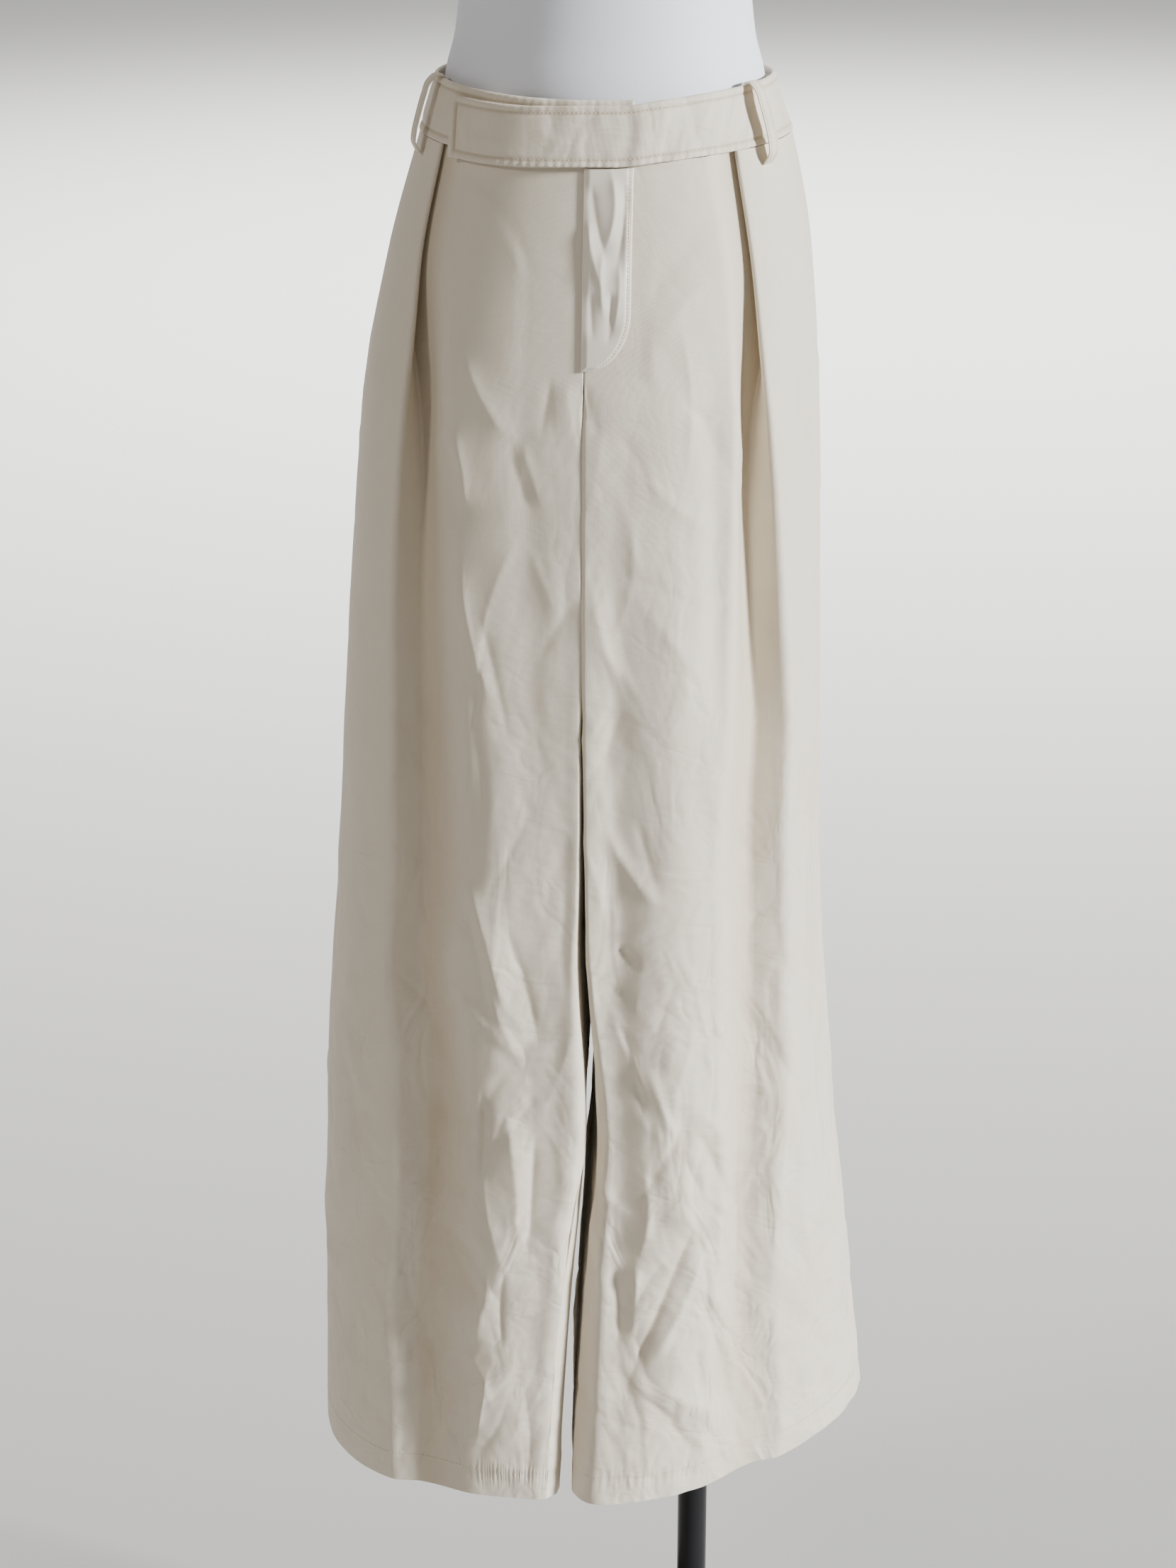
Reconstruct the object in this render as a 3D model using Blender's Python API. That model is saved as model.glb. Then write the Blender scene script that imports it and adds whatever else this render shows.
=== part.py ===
"""Wide-leg trousers with one deep pleat in each front, worn by a limbless dress form.

Metres, +Z up. The origin is the middle of the base plate's underside, on the floor. The
front of the trousers faces -Y, and the wearer's left is +X. Heights of the garment are
measured up from its hem, and the hem hangs HEM_HEIGHT above the floor.

Each leg is a stack of level sections. A section is one smooth outline round the leg, and
the pleat is folded into its front. The cloth is a wall under that surface.
"""
import math

import bpy
import numpy as np

# Driving dimensions.
HEM_HEIGHT = 0.310
OUTSEAM = 1.120
BAND_HEIGHT = 0.042
FRONT_DIP = 0.009
CROTCH = 0.822
FORK_FRONT = 0.100
FORK_BACK = 0.140
WALL = 0.0015
BAND_WALL = 0.0026
SEAM_GAP = 0.0003
CORNER_FORK = 0.006
CORNER_HEM = 0.038
INSEAM_Y = 0.010

# The leg sections, from the hem up. Reach is how far a leg stands out from the centre,
# side is how far back its widest point lies, and power is how square its front is.
# Inseam is how far the wearer's right inseam has turned round to the front.
SECTION_COLUMNS = ("height", "front", "back", "reach_right", "reach_left", "side_right",
                   "side_left", "power_right", "power_left", "inseam_right")
SECTION_ROWS = (
    (0.000, 0.155, 0.146, 0.236, 0.223, 0.020, 0.075, 2.60, 1.68, 0.165),
    (0.255, 0.147, 0.139, 0.231, 0.192, 0.020, 0.035, 2.40, 2.10, 0.152),
    (0.508, 0.140, 0.134, 0.215, 0.171, 0.020, 0.022, 2.40, 2.30, 0.090),
    (0.743, 0.135, 0.134, 0.197, 0.166, 0.020, 0.020, 2.40, 2.40, 0.015),
    (0.883, 0.129, 0.136, 0.184, 0.162, 0.018, 0.018, 2.40, 2.40, 0.000),
    (0.990, 0.119, 0.127, 0.163, 0.154, 0.014, 0.014, 2.30, 2.30, 0.000),
    (1.078, 0.106, 0.107, 0.137, 0.137, 0.010, 0.010, 2.20, 2.20, 0.000),
    (1.120, 0.098, 0.098, 0.1235, 0.123, 0.006, 0.006, 2.20, 2.20, 0.000),
)
BACK_POWER = 2.4
# Fine points along a section's inner wall, its corner and a quarter of its round.
WALL_STEPS = 11
CORNER_STEPS = 15
QUARTER_STEPS = 90

# The front pleat, from the hem up. Fold is its outer edge and crest the far side of the
# trough beside it, both measured out from the centre. Turn is how far the cloth is folded
# back on itself, with the radius of its two bends and the run of cloth between them.
PLEAT_COLUMNS = ("height", "fold_right", "fold_left", "crest_right", "crest_left", "turn",
                 "bend_in", "bend_out", "run")
PLEAT_ROWS = (
    (0.000, 0.150, 0.146, 0.095, 0.098, 24.0, 0.0140, 0.0140, 0.012),
    (0.255, 0.147, 0.144, 0.093, 0.101, 42.0, 0.0100, 0.0120, 0.016),
    (0.430, 0.145, 0.147, 0.092, 0.103, 55.0, 0.0080, 0.0100, 0.018),
    (0.630, 0.149, 0.146, 0.089, 0.102, 65.0, 0.0060, 0.0080, 0.018),
    (0.780, 0.148, 0.141, 0.090, 0.105, 80.0, 0.0040, 0.0060, 0.018),
    (0.860, 0.142, 0.134, 0.092, 0.106, 105.0, 0.0025, 0.0045, 0.018),
    (0.945, 0.132, 0.124, 0.097, 0.101, 160.0, 0.0012, 0.0028, 0.019),
    (1.000, 0.127, 0.117, 0.099, 0.095, 176.0, 0.0008, 0.0023, 0.020),
    (1.078, 0.112, 0.103, 0.086, 0.080, 180.0, 0.0007, 0.0022, 0.020),
)
BEND_STEPS = 4

# The other large folds, by leg (-1 is the wearer's right). Bearing goes round the leg from
# its inner side at 0 through the front at 90 to the back at 270 degrees. A negative depth
# is a trough.
FOLD_COLUMNS = ("leg", "bearing_low", "bearing_high", "low", "high", "spread", "depth")
FOLD_ROWS = (
    (-1, 254, 262, 0.00, 0.88, 15, -0.014),
    (-1, 306, 298, 0.00, 0.72, 14, -0.011),
    (-1, 214, 224, 0.00, 0.62, 14, -0.010),
    (-1, 234, 240, 0.00, 0.60, 12, 0.008),
    (1, 262, 268, 0.00, 0.86, 15, -0.013),
    (1, 300, 304, 0.00, 0.68, 14, -0.012),
    (1, 222, 230, 0.00, 0.56, 13, -0.011),
    (1, 243, 246, 0.00, 0.52, 12, 0.008),
    (-1, 221, 221, 0.00, 0.08, 12, 0.036),
)
FOLD_FADE = 0.10

# Heights of the rows of cloth, closer together where the crotch curve turns.
ROW_HEIGHTS = (0.000, 0.020, 0.050, 0.110, 0.180, 0.260, 0.340, 0.420, 0.500, 0.580, 0.655,
               0.720, 0.775, 0.806, 0.822, 0.826, 0.834, 0.847, 0.866, 0.890, 0.922, 0.962,
               1.000, 1.040, 1.0777)
# Columns over a leg's inner wall, its corner and its front or back, and the closest two are.
INNER_COLUMNS = (3, 3, 4)
BACK_COLUMNS = (2, 5, 3, 8)
CLOSEST = 0.0040
FLANK_COLUMNS = 4
OUTER_COLUMNS = 4

# The waistband. The wearer's left end is a tab that crosses over the front, and the
# wearer's right end lies under it.
TAB_LENGTH = 0.106
UNDERLAP_LENGTH = 0.032
BAND_PROUD = 0.0010
TAB_AIR = 0.0012
TAB_LIFT_START = 0.085
TAB_FLARE = 0.35
TAB_DROP_START = 0.0030
TAB_DROP_END = 0.0055
NEAR_COLUMNS = 22
FAR_COLUMNS = 12
RING_STEPS = 180

# Belt loops: where each stands, as a share of the way from the front centre to the back.
LOOP_WIDTH = 0.010
LOOP_WALL = 0.0012
LOOP_PLACES = {"belt_loop_front_right": -0.38, "belt_loop_front_left": 0.35,
               "belt_loop_back_right": -0.78, "belt_loop_back_left": 0.78,
               "belt_loop_back_middle": 1.0}
# A loop's side view: how far it stands off the band, and how far below the band's top.
LOOP_PROFILE = ((-0.0020, -0.0005), (0.0034, -0.0013), (0.0076, 0.0030), (0.0086, 0.0120),
                (0.0088, 0.0260), (0.0084, 0.0380), (0.0068, 0.0460), (0.0026, 0.0515),
                (-0.0003, 0.0545))

# The fly: a narrow strip with a rounded lower corner.
FLY_WIDTH = 0.033
FLY_LENGTH = 0.146
FLY_ROUND = 0.044
FLY_WALL = 0.0012
FLY_OVERHANG = 0.0020
FLY_COLUMNS = 5
FLY_ROWS = 13

# The dress form: half its width and depth at heights above the hem, and how far back.
FORM_COLUMNS = ("height", "half_width", "half_depth", "back")
FORM_ROWS = (
    (0.866, 0.090, 0.062, 0.006),
    (0.869, 0.102, 0.071, 0.006),
    (0.880, 0.115, 0.082, 0.006),
    (0.905, 0.125, 0.090, 0.006),
    (0.940, 0.130, 0.094, 0.005),
    (0.985, 0.129, 0.095, 0.004),
    (1.035, 0.125, 0.094, 0.002),
    (1.078, 0.121, 0.093, 0.000),
    (1.120, 0.117, 0.092, 0.000),
    (1.150, 0.1095, 0.0865, 0.000),
    (1.195, 0.1055, 0.0820, 0.000),
    (1.260, 0.1130, 0.0870, -0.002),
    (1.330, 0.1290, 0.0980, -0.006),
    (1.400, 0.1420, 0.1060, -0.008),
    (1.470, 0.1530, 0.1020, -0.004),
    (1.525, 0.1640, 0.0900, 0.002),
    (1.558, 0.1600, 0.0760, 0.006),
    (1.582, 0.1340, 0.0650, 0.008),
    (1.600, 0.0900, 0.0570, 0.009),
    (1.622, 0.0610, 0.0530, 0.009),
    (1.655, 0.0530, 0.0510, 0.008),
    (1.690, 0.0510, 0.0500, 0.006),
    (1.698, 0.0450, 0.0440, 0.006),
    (1.701, 0.0300, 0.0300, 0.006),
)
FORM_POWER = 2.2
FORM_SEGMENTS = 40

# The stand: a round pole inside the wearer's left leg, on a round steel plate.
POLE_OFFSET = 0.0785
POLE_RADIUS = 0.0125
FLANGE_RADIUS = 0.028
FLANGE_HEIGHT = 0.005
HUB_RADIUS = 0.020
HUB_HEIGHT = 0.024
HUB_BEVEL = 0.004
BASE_RADIUS = 0.170
BASE_HEIGHT = 0.008
BASE_BEVEL = 0.003
POLE_SEGMENTS = 24
BASE_SEGMENTS = 48

# An edge sharper than this is shaded as an edge.
SHARP_ANGLE = math.radians(40)


def table(columns, rows):
    """A table with named columns."""
    return dict(zip(columns, np.array(rows, dtype=float).T))


SECTIONS = table(SECTION_COLUMNS, SECTION_ROWS)
PLEAT = table(PLEAT_COLUMNS, PLEAT_ROWS)


def smooth(amount):
    """An even S-shaped change from 0 to 1."""
    amount = np.clip(amount, 0.0, 1.0)
    return amount * amount * (3.0 - 2.0 * amount)


def read(rows, name, height):
    """A table's column at a height, from a smooth curve through its rows that never
    overshoots them."""
    heights, values = rows["height"], rows[name]
    height = min(max(height, heights[0]), heights[-1])
    step = np.diff(heights)
    slope = np.diff(values) / step
    same_way = slope[1:] * slope[:-1] > 0
    middle = np.zeros(len(slope) - 1)
    middle[same_way] = (2.0 * slope[1:] * slope[:-1])[same_way] / (slope[1:] + slope[:-1])[same_way]
    tangent = np.concatenate((slope[:1], middle, slope[-1:]))
    i = min(max(int(np.searchsorted(heights, height)) - 1, 0), len(step) - 1)
    t = (height - heights[i]) / step[i]
    lower = (1 + 2 * t) * (1 - t) ** 2 * values[i] + t * (1 - t) ** 2 * step[i] * tangent[i]
    upper = t * t * (3 - 2 * t) * values[i + 1] - t * t * (1 - t) * step[i] * tangent[i + 1]
    return lower + upper


def leg_name(side):
    """The wearer's side: +1 is left and -1 is right."""
    return "left" if side > 0 else "right"


def division(height):
    """Where the two legs part, across: they hang a little to the wearer's right."""
    return -0.031 * smooth((0.55 - height) / 0.62) if height < CROTCH else 0.0


def half_gap(height):
    """Half the space between the two legs."""
    if height >= CROTCH:
        return SEAM_GAP / 2
    return SEAM_GAP / 2 + 0.0030 * smooth((CROTCH - height) / CROTCH)


def corner(height):
    """The round between a leg's inner wall and its front or back, soft only towards the hem."""
    return CORNER_FORK + (CORNER_HEM - CORNER_FORK) * smooth((0.78 - height) / 0.50)


def slant(height):
    """How far the plane between the legs turns with depth, towards the hem."""
    return 0.122 * smooth((0.50 - height) / 0.20)


def crotch_curve(height, depth, rise):
    """How far the crotch seam stands out from the fork at a height above it."""
    up = min(max((height - CROTCH) / rise, 0.0), 1.0)
    return depth * (1.0 - (1.0 - up) ** 2.2) ** (1 / 2.2)


def outline(side, height):
    """A leg's level section as fine points [out from the centre, y], from the middle of
    its inner wall forwards and right round, with the distance along it to each point."""
    leg = leg_name(side)
    front, back = read(SECTIONS, "front", height), read(SECTIONS, "back", height)
    reach = read(SECTIONS, "reach_" + leg, height)
    side_y = read(SECTIONS, "side_" + leg, height)
    power = read(SECTIONS, "power_" + leg, height)
    inner = side * division(height) + half_gap(height)
    front_start = crotch_curve(height, front, FORK_FRONT)
    back_start = crotch_curve(height, back, FORK_BACK)
    front_round = min(corner(height), front - front_start)
    back_round = min(corner(height), back - back_start)
    quarter = np.linspace(0.0, math.pi / 2, QUARTER_STEPS)
    bend = np.linspace(0.0, math.pi / 2, CORNER_STEPS + 1)[:-1]
    pieces = []
    wall = np.linspace(INSEAM_Y, -(front - front_round), WALL_STEPS + 1)[:-1]
    pieces.append(np.column_stack((np.full(WALL_STEPS, inner), wall)))
    pieces.append(np.column_stack((inner + front_round * (1 - np.cos(bend)),
                                   -(front - front_round) - front_round * np.sin(bend))))
    start = inner + front_round
    pieces.append(np.column_stack((start + (reach - start) * np.sin(quarter) ** (2 / power),
                                   side_y - (front + side_y) * np.cos(quarter) ** (2 / power))))
    start = inner + back_round
    round_back = np.column_stack((start + (reach - start) * np.cos(quarter) ** (2 / BACK_POWER),
                                  side_y + (back - side_y) * np.sin(quarter) ** (2 / BACK_POWER)))
    pieces.append(round_back[1:-1])
    pieces.append(np.column_stack((inner + back_round * (1 - np.cos(bend[::-1])),
                                   back - back_round + back_round * np.sin(bend[::-1]))))
    wall = np.linspace(back - back_round, INSEAM_Y, WALL_STEPS + 1)[1:]
    pieces.append(np.column_stack((np.full(WALL_STEPS, inner), wall)))
    points = np.vstack(pieces)
    points = folded(side, height, points, inner, reach)
    length = np.concatenate(([0.0], np.cumsum(np.hypot(*np.diff(points, axis=0).T))))
    corner_end = WALL_STEPS + CORNER_STEPS
    side_index = corner_end + QUARTER_STEPS - 1
    back_index = len(points) - WALL_STEPS
    return {"points": points, "length": length, "front": (corner_end, side_index),
            "side": length[side_index], "total": length[-1],
            "front_corner": (length[WALL_STEPS], length[corner_end]),
            "back_corner": (length[back_index - CORNER_STEPS], length[back_index]),
            "front_start": front_start, "back_start": back_start}


def folded(side, height, points, inner, reach):
    """The outline with the large soft folds of its sides and back."""
    centre = (inner + reach) / 2
    bearing = np.degrees(np.arctan2(-points[:, 1], centre - points[:, 0])) % 360
    around = points - np.array((centre, 0.0))
    outward = around / np.linalg.norm(around, axis=1)[:, None]
    shift = np.zeros(len(points))
    for leg, low_at, high_at, low, high, spread, depth in FOLD_ROWS:
        if leg != side or height > high:
            continue
        share = height / high
        off = (bearing - (low_at + (high_at - low_at) * share)) / spread
        fade = smooth((high - height) / min(FOLD_FADE, high))
        shift += depth * fade * np.exp(-off * off)
    return points + outward * shift[:, None]


def at(section, distance):
    """The point at a distance along a section, and the way out of the cloth there."""
    length, points, total = section["length"], section["points"], section["total"]

    def place(d):
        d = d % total
        return np.array((np.interp(d, length, points[:, 0]), np.interp(d, length, points[:, 1])))

    ahead = place(distance + 0.0015) - place(distance - 0.0015)
    ahead /= np.linalg.norm(ahead)
    return place(distance), np.array((ahead[1], -ahead[0]))


def distance_at(section, out):
    """How far along the section's front it reaches a distance out from the centre."""
    first, last = section["front"]
    return float(np.interp(out, section["points"][first:last, 0], section["length"][first:last]))


def pleat_fold(turn, bend_in, bend_out, run):
    """The pleat's fold as [along, out]: a bend back, a run and a bend forward again. The
    middle of the second bend, the edge that shows, is at 0 along."""
    turn = math.radians(turn)
    steps = [turn * i / BEND_STEPS for i in range(BEND_STEPS + 1)]
    first = [(bend_in * math.sin(a), bend_in * (1 - math.cos(a))) for a in steps]
    last = (first[-1][0] + run * math.cos(turn), first[-1][1] + run * math.sin(turn))
    second = [(last[0] + bend_out * (math.sin(turn) - math.sin(a)),
               last[1] + bend_out * (math.cos(a) - math.cos(turn))) for a in reversed(steps)]
    fold = np.array(first + second)
    fold[:, 0] -= second[BEND_STEPS // 2][0]
    fold[:, 1] -= second[-1][1]
    return fold


def front_columns(side, height, section, start):
    """The front panel's places along the section and how far each lies in or out of it."""
    leg = leg_name(side)
    fold_at = distance_at(section, read(PLEAT, "fold_" + leg, height))
    crest = distance_at(section, read(PLEAT, "crest_" + leg, height))
    fold = pleat_fold(*(read(PLEAT, name, height) for name in ("turn", "bend_in", "bend_out", "run")))
    floor = -fold[0, 1]
    foot = fold_at + min(-0.003, fold[0, 0] - 0.004)
    inner = seam_columns(height, start, (*section["front_corner"], crest), INNER_COLUMNS)
    flank = np.append(np.linspace(crest, foot, FLANK_COLUMNS)[1:-1], foot)
    flank_depth = floor * smooth((flank - crest) / (foot - crest))
    outer = np.linspace(fold_at + fold[-1, 0], section["side"], OUTER_COLUMNS + 1)[1:]
    along = np.concatenate((inner, flank, fold_at + fold[:, 0], outer))
    out = np.concatenate((np.zeros(len(inner)), -flank_depth, fold[:, 1], np.zeros(len(outer))))
    return along, out


def seam_columns(height, start, stops, counts):
    """Places from a seam at start to each stop in turn, with so many columns between them.
    Above the fork the stops give way to even spaces."""
    even = smooth((height - CROTCH - 0.06) / 0.14)
    places = [start]
    for stop, count, share in zip(stops, counts, np.cumsum(counts) / sum(counts)):
        near = max(stop, places[-1] + count * CLOSEST)
        if share < 1.0:
            near += (start + (stops[-1] - start) * share - near) * even
        places.extend(np.linspace(places[-1], near, count + 1)[1:])
    return np.array(places)


def leg_row(side, height):
    """One row of a leg's outer surface, front panel then back panel, as 3-D points."""
    section = outline(side, height)
    closed = height <= CROTCH
    if closed:
        turned = read(SECTIONS, "inseam_right", height) if side < 0 else 0.0
        start, end = turned, section["total"] + turned
    else:
        start = INSEAM_Y + section["front_start"]
        end = section["total"] - (section["back_start"] - INSEAM_Y)
    along, out = front_columns(side, height, section, start)
    low, high = section["back_corner"]
    turn = max(end - section["total"] - section["front_corner"][0], 0.2 * (end - high))
    stops = (turn - end, -high, -low, -section["side"])
    back = -seam_columns(height, -end, stops, BACK_COLUMNS)[-2::-1]
    along = np.concatenate((along, back))
    out = np.concatenate((out, np.zeros(len(back))))
    row = []
    for distance, step in zip(along, out):
        if not closed:
            distance = min(max(distance, start), end)
        point, outward = at(section, distance)
        row.append(point + outward * step)
    return placed(side, height, np.array(row))


def placed(side, height, flat):
    """Section points [out, y] at a height, as 3-D points of the hanging garment."""
    across, y = side * flat[:, 0], flat[:, 1]
    near = 1.0 - smooth(side * (across - division(height)) / 0.12)
    x = across - slant(height) * y * near
    return np.column_stack((x, y, HEM_HEIGHT + height - dip(height, y)))


def dip(height, y):
    """How much lower the garment is at the front centre than at its sides."""
    front = read(SECTIONS, "front", height)
    return FRONT_DIP * smooth((height - 0.82) / 0.22) * np.clip(-y / front, 0.0, 1.0) ** 2


def unit(vectors):
    """Vectors at a length of 1."""
    return vectors / np.linalg.norm(vectors, axis=-1)[..., None]


def leg_grid(side):
    """All rows of a leg, with the outer and the inner face of its cloth."""
    outer = np.array([leg_row(side, height) for height in ROW_HEIGHTS])
    along = np.gradient(outer, axis=1)
    for i, height in enumerate(ROW_HEIGHTS):
        if height <= CROTCH:
            wrap = (outer[i, 1] - outer[i, -2]) / 2
            along[i, 0] = along[i, -1] = wrap
        elif height >= CROTCH + FORK_FRONT:
            along[i, 0] = (side, 0.0, 0.0)
        if height >= CROTCH + FORK_BACK:
            along[i, -1] = (-side, 0.0, 0.0)
    up = np.gradient(outer, axis=0)
    normal = unit(np.cross(along, up)) * side
    inner = outer - normal * WALL
    for i, height in enumerate(ROW_HEIGHTS):
        if height > CROTCH:
            for edge in (0, -1):
                clear = max(side * inner[i, edge, 0], SEAM_GAP / 2)
                inner[i, edge, 0] = side * clear
                outer[i, edge, 0] = side * max(side * outer[i, edge, 0], SEAM_GAP / 2)
    return outer, inner, unit(along)


def trimmed(outer, inner, along, first, last):
    """The columns of one panel, with half a seam gap taken off at each edge that is sewn
    to the same leg's other panel."""
    outer, inner = outer[:, first:last + 1].copy(), inner[:, first:last + 1].copy()
    for edge, column, way in ((0, first, 1), (-1, last, -1)):
        for i, height in enumerate(ROW_HEIGHTS):
            centre_seam = column != SIDE_COLUMN and height > CROTCH
            if not centre_seam:
                step = along[i, column] * way * SEAM_GAP / 2
                outer[i, edge] += step
                inner[i, edge] += step
    return outer, inner


SIDE_COLUMN = sum(INNER_COLUMNS) + FLANK_COLUMNS - 1 + 2 * (BEND_STEPS + 1) + OUTER_COLUMNS


def wall_mesh(outer, inner, flip):
    """A closed wall between two grids of points, [row, column], as points and triangles."""
    rows, columns = outer.shape[:2]
    points = np.vstack((outer.reshape(-1, 3), inner.reshape(-1, 3)))
    half = rows * columns
    faces = []

    def cell(a, b, c, d):
        faces.extend(((a, b, c), (a, c, d)))

    for i in range(rows - 1):
        for j in range(columns - 1):
            a, b = i * columns + j, i * columns + j + 1
            c, d = b + columns, a + columns
            cell(a, b, c, d)
            cell(half + d, half + c, half + b, half + a)
    for i in range(rows - 1):
        left, right = i * columns, i * columns + columns - 1
        cell(left + columns, half + left + columns, half + left, left)
        cell(right, half + right, half + right + columns, right + columns)
    for j in range(columns - 1):
        low, high = j, (rows - 1) * columns + j
        cell(low, half + low, half + low + 1, low + 1)
        cell(high + 1, half + high + 1, half + high, high)
    if flip:
        faces = [face[::-1] for face in faces]
    return points, faces


def add_object(name, points, faces, material):
    """A named object with its place in its mesh."""
    mesh = bpy.data.meshes.new(name)
    mesh.from_pydata([tuple(point) for point in points], [], faces)
    mesh.materials.append(material)
    mesh.shade_smooth()
    mesh.set_sharp_from_angle(angle=SHARP_ANGLE)
    bpy.context.collection.objects.link(bpy.data.objects.new(name, mesh))


def add_material(name, colour, roughness, metallic=0.0):
    """A plain surface: base colour, roughness and how metallic it is."""
    material = bpy.data.materials.new(name)
    material.use_nodes = True
    surface = material.node_tree.nodes["Principled BSDF"]
    surface.inputs["Base Color"].default_value = (*colour, 1.0)
    surface.inputs["Roughness"].default_value = roughness
    surface.inputs["Metallic"].default_value = metallic
    return material


def add_legs(cloth):
    """Front and back panels of both legs."""
    for side in (-1, 1):
        outer, inner, along = leg_grid(side)
        last = outer.shape[1] - 1
        for kind, first, end in (("front", 0, SIDE_COLUMN), ("back", SIDE_COLUMN, last)):
            panel_outer, panel_inner = trimmed(outer, inner, along, first, end)
            points, faces = wall_mesh(panel_outer, panel_inner, side < 0)
            add_object(kind + "_" + leg_name(side), points, faces, cloth)


def waist_ring(height):
    """The waist's level section as fine points, from the back centre round the wearer's
    right to the front centre and on round the left, with distances from the front centre."""
    halves = []
    for side in (-1, 1):
        section = outline(side, height)
        start = INSEAM_Y + section["front_start"]
        end = section["total"] - (section["back_start"] - INSEAM_Y)
        along = np.linspace(start, end, RING_STEPS)
        half = np.column_stack([np.interp(along, section["length"], section["points"][:, axis])
                                for axis in (0, 1)])
        half[0, 0] = half[-1, 0] = 0.0
        half[:, 0] *= side
        halves.append(half)
    ring = np.vstack((halves[0][::-1], halves[1][1:]))
    length = np.concatenate(([0.0], np.cumsum(np.hypot(*np.diff(ring, axis=0).T))))
    return ring, length - length[RING_STEPS - 1]


def on_ring(ring, length, distance, out):
    """A point at a distance round the waist from the front centre, and out from it."""

    def place(d):
        return np.array((np.interp(d, length, ring[:, 0]), np.interp(d, length, ring[:, 1])))

    ahead = place(distance + 0.002) - place(distance - 0.002)
    ahead /= np.linalg.norm(ahead)
    return place(distance) + np.array((ahead[1], -ahead[0])) * out


def add_waistband(cloth):
    """The band in two lengths that meet at the centre back and cross at the front."""
    low_height, high_height = OUTSEAM - BAND_HEIGHT, OUTSEAM
    rings = {height: waist_ring(height) for height in (low_height, high_height)}
    tab_out = BAND_WALL + TAB_AIR
    lengths = {"waistband_left": (-TAB_LENGTH, 1.0), "waistband_right": (UNDERLAP_LENGTH, -1.0)}
    for name, (end, way) in lengths.items():
        outer, inner = [], []
        for height in (low_height + SEAM_GAP, high_height):
            ring, length = rings[low_height if height < high_height else high_height]
            limit = length[-1] if way > 0 else -length[0]
            near = np.linspace(end, way * 0.115, NEAR_COLUMNS)
            far = np.linspace(way * 0.115, way * limit, FAR_COLUMNS + 1)[1:]
            rows = ([], [])
            for distance in np.concatenate((near, far)):
                lift = drop = 0.0
                if way > 0:
                    lift = tab_out * smooth((TAB_LIFT_START - distance) / 0.035)
                    drop = TAB_DROP_START * smooth((TAB_LIFT_START - 0.030 - distance) / 0.035)
                    drop += (TAB_DROP_END - TAB_DROP_START) * smooth((0.02 - distance) / 0.12)
                lift += drop * TAB_FLARE
                for row, out in zip(rows, (BAND_PROUD + lift, BAND_PROUD + lift - BAND_WALL)):
                    x, y = on_ring(ring, length, distance, out)
                    row.append((x, y, HEM_HEIGHT + height - drop - dip(height, y)))
            for row in rows:
                x, y, z = row[-1]
                row[-1] = (way * SEAM_GAP / 2, y, z)
            outer.append(rows[0])
            inner.append(rows[1])
        points, faces = wall_mesh(np.array(outer), np.array(inner), way < 0)
        add_object(name, points, faces, cloth)


def add_belt_loops(cloth):
    """Five narrow loops, each sewn down above and below the band and free between."""
    rings = [waist_ring(min(OUTSEAM - below, OUTSEAM)) for stand_off, below in LOOP_PROFILE]
    profile = np.array(LOOP_PROFILE)
    run = unit(np.gradient(profile, axis=0))
    for name, share in LOOP_PLACES.items():
        outer, inner = [], []
        for ring, (stand_off, below), (run_out, run_down) in zip(rings, profile, run):
            rows = ([], [])
            for edge in (-0.5, 0.5):
                for row, layer in zip(rows, (LOOP_WALL, 0.0)):
                    out = BAND_PROUD + SEAM_GAP + stand_off + layer * run_down
                    down = below - layer * run_out
                    x, y = loop_point(ring, share, edge * LOOP_WIDTH, out)
                    row.append((x, y, HEM_HEIGHT + OUTSEAM - down - dip(OUTSEAM - below, y)))
            outer.append(rows[0])
            inner.append(rows[1])
        points, faces = wall_mesh(np.array(outer)[::-1], np.array(inner)[::-1], False)
        add_object(name, points, faces, cloth)


def loop_point(waist, share, edge, out):
    """A point of a belt loop, to one side of its middle. The back loop straddles the
    band's back seam."""
    ring, length = waist
    if share == 1.0:
        return np.array((-edge, ring[-1, 1] + out))
    return on_ring(ring, length, share * abs(length[-1 if share > 0 else 0]) + edge, out)


def add_fly(satin):
    """The fly's strip on the wearer's left front, made from that panel's own surface."""
    high = OUTSEAM - BAND_HEIGHT - TAB_DROP_START - 3 * SEAM_GAP
    outer, inner = [], []
    for i in range(FLY_ROWS):
        down = i / (FLY_ROWS - 1)
        height = high - FLY_LENGTH * (1 - (1 - down) ** 1.4)
        left = height - (high - FLY_LENGTH)
        corner = min(max((FLY_ROUND - left) / FLY_ROUND, 0.0), 1.0)
        width = FLY_WIDTH * math.sqrt(max(1 - corner ** 2, 0.04))
        rows = ([], [])
        for across in np.linspace(-FLY_OVERHANG, width, FLY_COLUMNS):
            y = front_y(height, abs(across))
            for row, out in zip(rows, (SEAM_GAP * 1.5 + FLY_WALL, SEAM_GAP * 1.5)):
                row.append((across, y - out, HEM_HEIGHT + height - dip(height, y)))
        outer.append(rows[0])
        inner.append(rows[1])
    points, faces = wall_mesh(np.array(outer)[::-1], np.array(inner)[::-1], False)
    add_object("fly", points, faces, satin)


def front_y(height, out):
    """How far forward the wearer's left front stands at a distance out from the centre."""
    section = outline(1, height)
    return float(at(section, distance_at(section, out))[0][1])


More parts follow.
